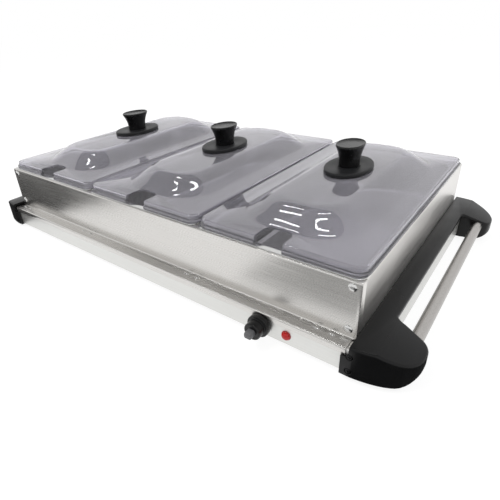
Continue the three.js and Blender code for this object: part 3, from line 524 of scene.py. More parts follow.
def stacked(levels: Sequence[Level], steps: int = 12, looped: bool = False) -> BMesh:
    """Grow one closed body from level outline to level outline.

    Args:
        levels: Outlines in order over the skin.
        steps: Points in each quarter of an outline.
        looped: True where the last outline joins the first, False where both are filled.

    Returns:
        The closed mesh.
    """
    bm = bmesh.new()
    ring = bmesh.ops.create_circle(bm, cap_ends=False, radius=1, segments=4 * steps)["verts"]
    levels[0].shape(ring)
    if not looped:
        bmesh.ops.contextual_create(bm, geom=ring)
    for level in [*levels[1:], *(levels[:1] if looped else ())]:
        pairs = zip(ring, ring[1:] + ring[:1])
        edges = [bm.edges.get(pair) for pair in pairs]
        grown = bmesh.ops.extrude_edge_only(bm, edges=edges)["geom"]
        fresh = {item for item in grown if isinstance(item, BMVert)}
        ring = [
            next(e.other_vert(vert) for e in vert.link_edges if e.other_vert(vert) in fresh)
            for vert in ring
        ]
        level.shape(ring)
    if not looped:
        bmesh.ops.contextual_create(bm, geom=ring)
    return tidy(bm)


def turned(profile: Sequence[Point], steps: int = 48) -> BMesh:
    """Spin a profile about the Z axis.

    Args:
        profile: Points as radius and height; a closed ring repeats its first point.
        steps: Facets round the axis.

    Returns:
        The closed mesh.
    """
    bm = bmesh.new()
    verts = [bm.verts.new((radius, 0, z)) for radius, z in profile]
    edges = [bm.edges.new(pair) for pair in zip(verts, verts[1:])]
    bmesh.ops.spin(
        bm,
        geom=verts + edges,
        cent=(0, 0, 0),
        axis=(0, 0, 1),
        angle=2 * math.pi,
        steps=steps,
        use_merge=True,
    )
    return tidy(bm)


def rod(radius: float, low: float, high: float, steps: int) -> BMesh:
    """Turn a plain rod about the Z axis, for cutting and for standing clear of."""
    return turned([(0, low), (radius, low), (radius, high), (0, high)], steps)


def quarter(steps: int) -> list[Point]:
    """Give the cosine and the sine at equal steps of a quarter turn."""
    angles = [math.pi / 2 * i / steps for i in range(steps + 1)]
    return [(math.cos(a), math.sin(a)) for a in angles]


def arc(centre: Point, radius: float, start_deg: float, end_deg: float, steps: int) -> list[Point]:
    """Give the points of an arc, for a turned profile or an outline."""
    angles = [
        math.radians(start_deg + (end_deg - start_deg) * i / steps) for i in range(steps + 1)
    ]
    return [(centre[0] + radius * math.cos(a), centre[1] + radius * math.sin(a)) for a in angles]


def curve(start: Point, first: Point, second: Point, end: Point, steps: int) -> list[Point]:
    """Give the points of a cubic curve between two points."""
    knots = [Vector((*point, 0)) for point in (start, first, second, end)]
    return [(point.x, point.y) for point in interpolate_bezier(*knots, steps)]


def round_turn(start: Point, corner: Point, end: Point, steps: int) -> list[Point]:
    """Give the points of a soft turn between two points round a corner."""
    near, at, far = Vector(start), Vector(corner), Vector(end)
    return curve(start, near.lerp(at, 2 / 3)[:], far.lerp(at, 2 / 3)[:], end, steps)


def slab(
    outline: Sequence[Point],
    low: float,
    high: float,
    top_round: float = 0.0,
    low_round: float = 0.0,
    steps: int = 4,
) -> BMesh:
    """Raise an outline to a body with rounded rims.

    Args:
        outline: Points in order, as x and y.
        low: Height of the underside.
        high: Height of the top.
        top_round: Radius of the top rim.
        low_round: Radius of the lower rim.
        steps: Facets across each rim.

    Returns:
        The closed mesh.
    """
    bm = bmesh.new()
    base = bm.faces.new([bm.verts.new((x, y, low + low_round)) for x, y in outline])
    raised = bmesh.ops.extrude_face_region(bm, geom=[base])["geom"]
    bmesh.ops.translate(
        bm,
        vec=(0, 0, high - top_round - low - low_round),
        verts=[item for item in raised if isinstance(item, BMVert)],
    )
    tidy(bm)
    caps = [(max(bm.faces, key=lambda face: face.calc_center_median().z), top_round)]
    caps.append((min(bm.faces, key=lambda face: face.calc_center_median().z), low_round))
    for cap, radius in caps:
        for step in range(steps if radius else 0):
            near, far = (math.pi / 2 * (step + i) / steps for i in (0, 1))
            bmesh.ops.inset_individual(
                bm,
                faces=[cap],
                thickness=radius * (math.cos(near) - math.cos(far)),
                depth=radius * (math.sin(far) - math.sin(near)),
                use_even_offset=True,
            )
    return bm


def block(low: Sequence[float], high: Sequence[float]) -> BMesh:
    """Make a plain box between two corners, for cutting and for joining to a shape."""
    bm = bmesh.new()
    size = Vector(high) - Vector(low)
    bmesh.ops.create_cube(bm, size=1, matrix=Matrix.Diagonal((*size, 1)))
    bmesh.ops.translate(bm, vec=(Vector(high) + Vector(low)) / 2, verts=bm.verts[:])
    return bm


def joined(*parts: BMesh) -> BMesh:
    """Put several meshes into the first one, and give that one back."""
    whole = parts[0]
    for part in parts[1:]:
        loose = bpy.data.meshes.new("joining")
        part.to_mesh(loose)
        whole.from_mesh(loose)
        bpy.data.meshes.remove(loose)
        part.free()
    return whole


def placed(bm: BMesh, turn: Matrix, move: Sequence[float]) -> BMesh:
    """Turn a mesh about the origin and then move it, and give it back."""
    bmesh.ops.rotate(bm, verts=bm.verts[:], matrix=turn)
    bmesh.ops.translate(bm, vec=move, verts=bm.verts[:])
    return bm


LEVEL = Matrix.Identity(3)
HALF_TURN = Matrix.Rotation(math.pi, 3, "Z")
TO_FRONT = Matrix.Rotation(math.pi / 2, 3, "X")
TO_BACK = Matrix.Rotation(-math.pi / 2, 3, "X")
OUTWARD = {Facing.FRONT: TO_FRONT, Facing.BACK: TO_BACK}


def carved(body: BMesh, *cutters: BMesh) -> BMesh:
    """Take cutters out of a body with the exact boolean.

    Args:
        body: Closed mesh.
        cutters: Closed meshes to take away.

    Returns:
        A new closed mesh; the given ones are freed.
    """
    loose: list[bpy.types.Object] = []
    for bm in (body, *cutters):
        tidy(bm)
        mesh = bpy.data.meshes.new("carving")
        bm.to_mesh(mesh)
        bm.free()
        loose.append(bpy.data.objects.new("carving", mesh))
        bpy.context.scene.collection.objects.link(loose[-1])
    for cutter in loose[1:]:
        cut = loose[0].modifiers.new("cut", "BOOLEAN")
        cut.operation = "DIFFERENCE"
        cut.solver = "EXACT"
        cut.object = cutter
    graph = bpy.context.evaluated_depsgraph_get()
    result = bmesh.new()
    result.from_object(loose[0], graph)
    for item in loose:
        mesh = item.data
        bpy.data.objects.remove(item)
        bpy.data.meshes.remove(mesh)
    return tidy(result, 1e-3)


def finish_piece(
    name: str,
    bm: BMesh,
    finish: Finish,
    body: str,
    stands_for: Sequence[str],
    smooth_deg: float = 40.0,
) -> bpy.types.Object:
    """Turn a mesh into a finished piece that rides on a body.

    Args:
        name: Name of the piece.
        bm: Mesh in millimetres about the middle of the frame; it is freed.
        finish: Finish that it takes.
        body: CAD body that it moves with.
        stands_for: CAD nodes that it replaces.
        smooth_deg: Edges that turn by more than this stay sharp.

    Returns:
        The piece's object, at the origin.
    """
    bmesh.ops.scale(bm, vec=(MM, MM, MM), verts=bm.verts[:])
    bmesh.ops.translate(bm, vec=CENTRE, verts=bm.verts[:])
    mesh = bpy.data.meshes.new(name)
    bm.to_mesh(mesh)
    bm.free()
    mesh.shade_smooth()
    mesh.set_sharp_from_angle(angle=math.radians(smooth_deg))
    mesh.materials.append(finish.material())
    piece = bpy.data.objects.new(name, mesh)
    bpy.context.scene.collection.objects.link(piece)
    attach(piece, body)
    if stands_for:
        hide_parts(*stands_for)
    LOG.info("made %s: %d faces, on %s", name, len(mesh.polygons), body)
    return piece


def dress_node(node: str, finish: Finish) -> None:
    """Give a CAD node that keeps its own shape a better material.

    Args:
        node: Name of the CAD node.
        finish: Finish that it takes.
    """
    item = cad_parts[node]
    if not item.data.materials:
        item.data.materials.append(None)
    for slot in item.material_slots:
        slot.material = finish.material()
    LOG.info("dressed %s in %s", node, finish.name)


def eased_copy(node: str, width: float, segments: int = 2) -> BMesh:
    """Copy a CAD node's skin and round its edges.

    Args:
        node: Name of the CAD node.
        width: Bevel width in millimetres.
        segments: Faces across the bevel.

    Returns:
        A closed mesh in millimetres about the middle of the frame.
    """
    bm = bmesh.new()
    bm.from_mesh(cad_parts[node].data)
    bmesh.ops.translate(bm, vec=-CENTRE, verts=bm.verts[:])
    bmesh.ops.scale(bm, vec=(1 / MM,) * 3, verts=bm.verts[:])
    bmesh.ops.remove_doubles(bm, verts=bm.verts[:], dist=1e-3)
    bmesh.ops.dissolve_limit(
        bm, angle_limit=math.radians(1), verts=bm.verts[:], edges=bm.edges[:]
    )
    return soften(tidy(bm, 1e-3), width, segments)


# ---------------------------------------------------------------- pan frame


@dataclass
class PanFrame:
    """Folded steel frame that stands on the warming plate and carries the pans."""

    sheet: float = 1.0
    bend: float = 1.5
    flange: float = 9.0
    end_setback: float = 3.0
    tab_width: float = 20.0
    tab_margin: float = 3.0
    stud_places: tuple[float, ...] = (-246.0, -100.0, 84.0, 238.0)
    stud_spacing: float = 14.5
    rivet_radius: float = 4.0
    rivet_height: float = 1.8

    def __post_init__(self) -> None:
        """Read the frame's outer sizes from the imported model."""
        low, self.high = cad_box("frame_back_panel")
        self.base = cad_box("warming_plate")[1].z
        self.lip_low = low.z
        self.wall_y = cad_box("frame_right_panel")[1].y + self.sheet
        self.end_x = cad_box("frame_right_panel")[1].x

    def sheet_strip(self, line: Sequence[Point], stations: Sequence[float]) -> BMesh:
        """Draw a folded strip: a line in Y and Z, swept through stations along X.

        Args:
            line: Outer skin of the section, as y and z.
            stations: Places along X, in order.

        Returns:
            An open mesh with sharp bends, which the callers round.
        """
        bm = bmesh.new()
        verts = [bm.verts.new((stations[0], y, z)) for y, z in line]
        edges = [bm.edges.new(pair) for pair in zip(verts, verts[1:])]
        for near, far in zip(stations, stations[1:]):
            grown = bmesh.ops.extrude_edge_only(bm, edges=edges)["geom"]
            verts = [item for item in grown if isinstance(item, BMVert)]
            ends = set(verts)
            edges = [
                item for item in grown if isinstance(item, BMEdge) and set(item.verts) <= ends
            ]
            bmesh.ops.translate(bm, vec=(far - near, 0, 0), verts=verts)
        return bm

    def drop_faces(self, bm: BMesh, unwanted: Callable[[Vector], bool]) -> None:
        """Delete the faces whose middle is unwanted."""
        spare = [face for face in bm.faces if unwanted(face.calc_center_median())]
        bmesh.ops.delete(bm, geom=spare, context="FACES")

    def face_out(self, bm: BMesh) -> None:
        """Turn the faces of a strip so that its wall looks away from the pans."""
        bmesh.ops.recalc_face_normals(bm, faces=bm.faces[:])
        wall = max(bm.faces, key=lambda face: face.calc_area())
        if wall.normal.y > 0:
            bmesh.ops.reverse_faces(bm, faces=bm.faces[:])

    def thicken(self, piece: bpy.types.Object) -> bpy.types.Object:
        """Give a folded skin its sheet thickness and break its edges."""
        wall = piece.modifiers.new("sheet", "SOLIDIFY")
        wall.thickness = self.sheet * MM
        wall.offset = -1
        wall.use_even_offset = True
        wall.use_quality_normals = True
        edge = piece.modifiers.new("broken_edge", "BEVEL")
        edge.width = 0.18 * MM
        edge.segments = 2
        edge.limit_method = "ANGLE"
        edge.angle_limit = math.radians(50)
        return piece

    def stud(self, x: float, ledge_y: float) -> BMesh:
        """Make one small oblong bump of the pressed marks on the ledge."""
        profile = arc((0, 0), 1.0, 0, 90, 5)
        bump = turned([*profile[:-1], (0, 1.0)], 20)
        bmesh.ops.scale(bump, vec=(3.2, 1.5, 0.55), verts=bump.verts[:])
        return placed(bump, LEVEL, (x, ledge_y, self.base + self.sheet - 0.02))

    def long_wall(self, facing: Facing) -> bpy.types.Object:
        """Fold the front or back wall: pan flange, wall, ledge and hooked lip."""
        ledge = self.base + self.sheet
        line = [
            (-self.wall_y + self.flange, self.high.z),
            (-self.wall_y, self.high.z),
            (-self.wall_y, ledge),
            (-self.high.y, ledge),
            (-self.high.y, self.lip_low),
        ]
        inner = self.end_x - self.end_setback
        bm = self.sheet_strip(line, [-self.end_x, -inner, inner, self.end_x])
        self.drop_faces(bm, lambda at: abs(at.x) > inner and at.z < ledge + 0.5)
        soften(bm, self.bend, 5, 60.0, clamped=False)
        self.face_out(bm)
        if facing is Facing.BACK:
            placed(bm, HALF_TURN, (0, 0, 0))
        name = f"{facing.word}_wall"
        piece = finish_piece(
            name, bm, WALL_STEEL, "pan_frame", [f"frame_{facing.word}_panel"]
        )
        return self.thicken(piece)

    def ledge_studs(self, facing: Facing) -> bpy.types.Object:
        """Make the paired marks along one ledge."""
        ledge_y = facing.value * (self.wall_y + 4.6)
        pairs = [
            self.stud(facing.value * -x + side * self.stud_spacing / 2, ledge_y)
            for x in self.stud_places
            for side in (-1, 1)
        ]
        name = f"{facing.word}_ledge_marks"
        return finish_piece(name, joined(*pairs), RIVET_STEEL, "pan_frame", [])

    def end_wall(self, side: Side) -> bpy.types.Object:
        """Fold an end wall, with its pan flange and the two tabs behind the long walls."""
        reach = self.wall_y - self.sheet
        flange_y = self.wall_y - self.flange
        top = self.high.z
        line = [(-self.end_x + self.flange, top), (-self.end_x, top), (-self.end_x, self.base)]
        bm = self.sheet_strip(line, [-reach, -flange_y, flange_y, reach])
        self.drop_faces(bm, lambda at: abs(at.x) > flange_y and at.z > top - 0.5)
        soften(bm, self.bend, 5, 60.0, clamped=False)

        def within_wall(co: Vector) -> Vector:
            """Keep a tab clear of the wall's top and foot."""
            low = self.base + self.tab_margin
            return Vector((co.x, co.y, min(max(co.z, low), top - self.tab_margin)))

        for end in (-1, 1):
            rim = [
                edge
                for edge in bm.edges
                if all(abs(v.co.x - end * reach) < 0.01 for v in edge.verts)
                and all(v.co.y < -self.end_x + 0.01 for v in edge.verts)
            ]
            grown = bmesh.ops.extrude_edge_only(bm, edges=rim)["geom"]
            verts = [item for item in grown if isinstance(item, BMVert)]
            bmesh.ops.translate(bm, vec=(0, self.tab_width, 0), verts=verts)
            spread(verts, within_wall)
        self.face_out(bm)
        placed(bm, Matrix.Rotation(side.value * math.pi / 2, 3, "Z"), (0, 0, 0))
        name = side.word
        piece = finish_piece(
            f"{name}_wall", bm, END_STEEL, "pan_frame", [f"frame_{name}_panel"]
        )
        return self.thicken(piece)

    def rivet(self, facing: Facing, number: int) -> bpy.types.Object:
        """Turn one domed rivet, at the middle of its CAD node."""
        node = f"rivet_{facing.word}_{number}"
        low, high = cad_box(node)
        head = [
            (self.rivet_radius * cosine, self.rivet_height * sine)
            for cosine, sine in quarter(8)[:-1]
        ]
        tail = -2 * self.sheet
        profile = [
            (0, tail - 1.2),
            (2.6, tail - 1.2),
            (3.0, tail - 0.8),
            (3.0, tail),
            (2.0, tail),
            (2.0, 0),
            (self.rivet_radius - 0.3, 0),
            *head,
            (0, self.rivet_height),
        ]
        middle = (low + high) / 2
        place = (middle.x, facing.value * self.wall_y, middle.z)
        bm = placed(turned(profile, 40), OUTWARD[facing], place)
        return finish_piece(node + "_head", bm, RIVET_STEEL, "pan_frame", [node])

    def build(self) -> list[bpy.types.Object]:
        """Build the whole frame.

        Returns:
            Its pieces.
        """
        pieces = []
        for facing in Facing:
            pieces.append(self.long_wall(facing))
            pieces.append(self.ledge_studs(facing))
            pieces.extend(self.rivet(facing, number) for number in (1, 2, 3, 4))
        for side in Side:
            pieces.append(self.end_wall(side))
            node = f"pan_divider_{side.word}"
            divider = eased_copy(node, 0.3)
            pieces.append(
                finish_piece(f"{node}_channel", divider, END_STEEL, "pan_frame", [node])
            )
        return pieces


# ---------------------------------------------------------------- pans


@dataclass
class FoodPan:
    """Deep-drawn steel pan that hangs in the frame by its flat rim."""

    place: str
    sheet: float = 1.0
    draft: float = 6.0
    corner: float = 24.0
    floor_bend: float = 7.0
    rim_corner: float = 9.0
    shoulder: float = 1.6
    body_inset: tuple[float, float] = (9.35, 7.6)
    steps: int = 14

    def skin(self, depth: float) -> list[Level]:
        """List the pan's skin from the middle of the floor to the edge of its rim.

        Args:
            depth: How far the skin lies inside the outer one.

        Returns:
            Levels from the floor outward.
        """
        low, high = cad_box(f"{self.place}_pan")
        rim = (high - low) / 2
        body = (rim.x - self.body_inset[0], rim.y - self.body_inset[1])
        under = high.z - self.sheet
        bend = self.floor_bend - depth
        foot = tuple(half - self.draft for half in body)
        levels = []
        for cosine, sine in quarter(6):
            tuck = self.floor_bend - bend * sine
            rise = self.floor_bend - bend * cosine
            levels.append(
                Level(foot[0] - tuck, foot[1] - tuck, low.z + rise, self.corner - tuck)
            )
        swell = self.shoulder + depth
        for cosine, sine in quarter(4):
            out = swell * (1 - cosine) - depth
            rise = under + depth - swell * (1 - sine)
            levels.append(Level(body[0] + out, body[1] + out, rise, self.corner + out))
        return levels

    def build(self) -> list[bpy.types.Object]:
        """Build the pan.

        Returns:
            Its one piece.
        """
        low, high = cad_box(f"{self.place}_pan")
        rim = (high - low) / 2
        under = high.z - self.sheet
        edge = self.sheet / 2
        outer = self.skin(0.0)
        inner = self.skin(self.sheet)
        turns = [
            Level(
                rim.x - edge * (1 - math.cos(a)),
                rim.y - edge * (1 - math.cos(a)),
                under + edge + edge * math.sin(a),
                self.rim_corner - edge * (1 - math.cos(a)),
            )
            for a in (math.radians(d) for d in (-90, -45, 0, 45, 90))
        ]
        bm = stacked([*outer, *turns, *reversed(inner)], self.steps)
        placed(bm, LEVEL, ((low.x + high.x) / 2, 0, 0))
        node = f"{self.place}_pan"
        return [finish_piece(f"{node}_shell", bm, PAN_STEEL, node, [node])]


# ---------------------------------------------------------------- lids


@dataclass
class ClearLid:
    """Clear moulded lid: a stepped lip, a flat margin, a soft dome and a spoon notch."""

    place: str
    wall: float = 2.0
    lip_height: float = 3.4
    band_height: float = 5.1
    step: float = 2.0
    corner: float = 10.0
    edge: float = 1.5
    dome_rise: float = 18.0
    dome_margin: tuple[float, float] = (23.15, 21.5)
    dome_slope: tuple[float, float] = (32.0, 34.0)
    dome_corners: tuple[float, float] = (46.0, 26.0)
    notch_width: float = 30.0
    notch_depth: float = 24.0
    notch_shift: float = -3.0
    notch_corner: float = 7.0
    screw_radius: float = 2.3
    steps: int = 18

    def __post_init__(self) -> None:
        """Read the lid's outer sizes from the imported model."""
        self.node = f"{self.place}_lid"
        low, high = cad_box(self.node)
        self.middle = (low.x + high.x) / 2
        self.half = ((high.x - low.x) / 2, (high.y - low.y) / 2)
        self.seat = low.z
        self.flat = self.seat + self.lip_height + self.band_height
        self.crown = self.flat + self.dome_rise

    def dome(self, below: float, count: int = 18) -> list[Level]:
        """List the dome's levels from its top edge down to the flat margin.

        Args:
            below: Depth under the outer skin.
            count: Number of levels.

        Returns:
            The levels.
        """
        base = [half - margin for half, margin in zip(self.half, self.dome_margin)]
        wide, narrow = self.dome_corners
        levels = []
        for i in range(count):
            share = i / (count - 1)
            eased = 0.6 * share * share * (3 - 2 * share) + 0.4 * share**1.6
            levels.append(
                Level(
                    base[0] - self.dome_slope[0] * (1 - share),
                    base[1] - self.dome_slope[1] * (1 - share),
                    self.crown - self.dome_rise * eased - below,
                    narrow + (wide - narrow) * share,
                )
            )
        return levels

    def rounded(self, half: Point, corner: float, z: float, radius: float, up: int) -> list[Level]:
        """List a quarter-round edge that turns in from a wall.

        Args:
            half: Half sizes at the wall.
            corner: Corner radius at the wall.
            z: Height of the flat that the edge ends on.
            radius: Radius of the edge.
            up: 1 where the flat is above the wall, -1 where it is below.

        Returns:
            Levels from the wall to the flat.
        """
        levels = []
        for cosine, sine in quarter(4):
            tuck = radius * (1 - cosine)
            rise = radius * (1 - sine)
            levels.append(Level(half[0] - tuck, half[1] - tuck, z - up * rise, corner - tuck))
        return levels

    def shell(self) -> BMesh:
        """Build the lid's shell before its notch is cut."""
        lip = self.half
        band = tuple(half - self.step for half in lip)
        under_band = tuple(half - self.wall for half in band)
        under_lip = tuple(half - self.wall - self.step for half in lip)
        step_z = self.seat + self.lip_height
        corner = self.corner + self.step
        underside = [
            *self.dome(self.wall),
            *reversed(
                self.rounded(under_band, self.corner - self.wall, self.flat - self.wall, 0.8, 1)
            ),
            Level(*under_lip, self.seat, self.corner - self.wall),
        ]
        outside = [
            *reversed(self.rounded(lip, corner, self.seat, 0.5, -1)),
            *self.rounded(lip, corner, step_z, 0.8, 1),
            Level(band[0] + 0.3, band[1] + 0.3, step_z, self.corner + 0.3),
            Level(*band, step_z + 0.3, self.corner),
            *self.rounded(band, self.corner, self.flat, self.edge, 1),
            *reversed(self.dome(0.0)),
        ]
        return stacked([*underside, *outside], self.steps)

    def notch(self) -> BMesh:
        """Build the cutter of the spoon notch, rounded at its inner corners."""
        half = self.notch_width / 2
        left, right = self.notch_shift - half, self.notch_shift + half
        front, back = -self.half[1] - 2, -self.half[1] + self.notch_depth
        near = back - self.notch_corner
        outline = [
            (left, front),
            (right, front),
            *arc((right - self.notch_corner, near), self.notch_corner, 0, 90, 8),
            *arc((left + self.notch_corner, near), self.notch_corner, 90, 180, 8),
        ]
        return slab(outline, self.seat - 1, self.crown + 1)

    def screw_hole(self) -> BMesh:
        """Build the cutter of the grip's screw hole."""
        return rod(self.screw_radius, self.flat, self.crown + 1, 24)

    def build(self) -> list[bpy.types.Object]:
        """Build the lid.

        Returns:
            Its one piece.
        """
        bm = carved(self.shell(), self.notch(), self.screw_hole())
        placed(bm, LEVEL, (self.middle, 0, 0))
        return [
            finish_piece(f"{self.node}_shell", bm, LID_PLASTIC, self.node, [self.node], 30.0)
        ]


@dataclass
class LidGrip:
    """Flared oval grip with a dished top, on its oval seat plate."""

    place: str
    waist: tuple[float, float] = (10.9, 14.0)
    dish: float = 1.2
    rim_width: float = 1.6
    steps: int = 12

    def seat_plate(self) -> bpy.types.Object:
        """Build the oval plate with a rounded rim."""
        node = f"{self.place}_grip_plate"
        low, high = cad_box(node)
        half = (high - low) / 2
        rim = 1.5
        levels = [Level(half.x - 0.8, half.y - 0.8, low.z), Level(half.x, half.y, low.z + 0.9)]
        for cosine, sine in quarter(5):
            tuck = rim * (1 - cosine)
            levels.append(Level(half.x - tuck, half.y - tuck, high.z - rim + rim * sine))
        dip = self.waist[0] + 2.2, self.waist[1] + 2.2
        levels.append(Level(*dip, high.z))
        levels.append(Level(dip[0] - 0.8, dip[1] - 0.8, high.z - 0.5))
        bm = stacked(levels, self.steps)
        placed(bm, LEVEL, ((low.x + high.x) / 2, 0, 0))
        return finish_piece(f"{node}_oval", bm, PLATE_PLASTIC, f"{self.place}_lid", [node])

    def grip(self) -> bpy.types.Object:
        """Build the flared grip."""
        node = f"{self.place}_lid_grip"
        low, high = cad_box(node)
        half = (high - low) / 2
        rise = high.z - low.z - 2
        levels = [Level(self.waist[0], self.waist[1], low.z - 0.4)]
        for i in range(14):
            share = i / 13
            flare = share**2.2
            levels.append(
                Level(
                    self.waist[0] + (half.x - self.waist[0]) * flare,
                    self.waist[1] + (half.y - self.waist[1]) * flare,
                    low.z + rise * share,
                )
            )
        crest = self.rim_width / 2
        for i in range(1, 9):
            angle = math.pi * i / 8
            tuck = crest * (1 - math.cos(angle))
            levels.append(
                Level(half.x - tuck, half.y - tuck, high.z - crest + crest * math.sin(angle))
            )
        floor = high.z - self.dish
        for share in (0.2, 0.5, 0.8, 1.0):
            tuck = self.rim_width + 4.5 * share
            levels.append(
                Level(half.x - tuck, half.y - tuck, floor - 0.5 * math.sin(share * math.pi / 2))
            )
        bm = stacked(levels, self.steps)
        placed(bm, LEVEL, ((low.x + high.x) / 2, 0, 0))
        return finish_piece(f"{node}_flare", bm, GRIP_PLASTIC, f"{self.place}_lid", [node])

    def build(self) -> list[bpy.types.Object]:
        """Build the grip and its plate.

        Returns:
            Its pieces.
        """
        dress_node(f"{self.place}_grip_screw", ZINC_STEEL)
        return [self.seat_plate(), self.grip()]


# ---------------------------------------------------------------- warming base


@dataclass
class WarmingBase:
    """Steel housing with its top plate, bottom cover, gland and feet."""

    sheet: float = 1.0
    flange: float = 8.0
    corner: float = 2.0
    foot_rim: float = 1.0

    def housing(self) -> bpy.types.Object:
        """Build the four walls and the inward flange at their base."""
        low, high = cad_box("base_housing")
        half = (high - low) / 2
        steps = []
        ring = [
            (0.0, low.z + 0.3),
            (0.0, high.z - 0.3),
            (0.3, high.z),
            (self.sheet, high.z),
            (self.sheet, low.z + 2 * self.sheet),
            (self.sheet + self.flange, low.z + 2 * self.sheet),
            (self.sheet + self.flange, low.z + self.sheet),
            (self.sheet, low.z + self.sheet),
            (self.sheet, low.z),
            (0.3, low.z),
        ]
        for tuck, z in ring:
            corner = max(self.corner - tuck, 0.6)
            steps.append(Level(half.x - tuck, half.y - tuck, z, corner))
        bm = stacked(steps, 5, looped=True)
        return finish_piece("housing_walls", bm, HOUSING_STEEL, "base", ["base_housing"])

    def top_plate(self) -> bpy.types.Object:
        """Build the plate that warms the pans."""
        low, high = cad_box("warming_plate")
        half = (high - low) / 2
        levels = [
            Level(half.x - 0.2, half.y - 0.2, low.z, self.corner - 0.2),
            Level(half.x, half.y, low.z + 0.2, self.corner),
            Level(half.x, half.y, high.z - 0.4, self.corner),
            Level(half.x - 0.4, half.y - 0.4, high.z, self.corner - 0.4),
        ]
        return finish_piece(
            "warming_top_plate", stacked(levels, 5), WALL_STEEL, "base", ["warming_plate"]
        )

    def gland(self) -> bpy.types.Object:
        """Turn the bush in the back wall that a supply lead would enter by."""
        low, high = cad_box("cord_gland")
        middle = (low + high) / 2
        radius = (high.x - low.x) / 2
        seat = cad_box("base_housing")[1].y
        back, front = seat - low.y, high.y - seat
        profile = [
            (3.6, -back),
            (7.2, -back),
            (7.2, -self.sheet),
            (6.0, -self.sheet),
            (6.0, 0),
            *arc((radius - 0.8, 0.8), 0.8, -90, 0, 3),
            *arc((radius - 0.8, 2.2), 0.8, 0, 90, 4),
            (6.6, 3.2),
            (6.2, 4.2),
            (5.9, 6.0),
            (6.1, 6.3),
            (5.7, 8.4),
            (5.9, 8.7),
            (5.5, 10.6),
            *arc((4.5, front - 0.8), 0.8, 0, 90, 4),
            (3.9, front),
            (3.6, front - 0.3),
            (3.6, -back),
        ]
        bm = placed(turned(profile, 40), TO_BACK, (middle.x, seat, middle.z))
        return finish_piece("gland_bush", bm, PLATE_PLASTIC, "base", ["cord_gland"])

    def foot(self, side: Side, facing: Facing) -> bpy.types.Object:
        """Turn one rubber foot with a ringed sole."""
        node = f"foot_{facing.word}_{side.word}"
        low, high = cad_box(node)
        middle = (low + high) / 2
        radius = (high.x - low.x) / 2
        top = 4.0
        profile = [
            (0, 0.5),
            (3.0, 0.5),
            (3.4, 0.0),
            (5.2, 0.0),
            (5.6, 0.5),
            (7.4, 0.5),
            (7.8, 0.0),
            *arc((radius - self.foot_rim, self.foot_rim), self.foot_rim, -90, 0, 4),
            *arc((radius - 0.5, top - 0.5), 0.5, 0, 90, 3),
            (2.5, top),
            (2.5, high.z),
            (0, high.z),
        ]
        bm = placed(turned(profile, 40), LEVEL, (middle.x, middle.y, 0))
        return finish_piece(f"{node}_pad", bm, FOOT_RUBBER, "base", [node])

    def build(self) -> list[bpy.types.Object]:
        """Build the base and dress what is closed inside it.

        Returns:
            Its pieces.
        """
        dress_node("heating_element", SHEATH)
        dress_node("insulation_pad", WOOL)
        for node in ("thermal_fuse", "terminal_block", "thermostat_body", "indicator_lamp"):
            dress_node(node, STEATITE)
        cover = eased_copy("bottom_cover", 0.25)
        pieces = [
            self.housing(),
            self.top_plate(),
            finish_piece("slotted_cover", cover, ZINC_STEEL, "base", ["bottom_cover"]),
            self.gland(),
        ]
        pieces.extend(self.foot(side, facing) for side in Side for facing in Facing)
        return pieces


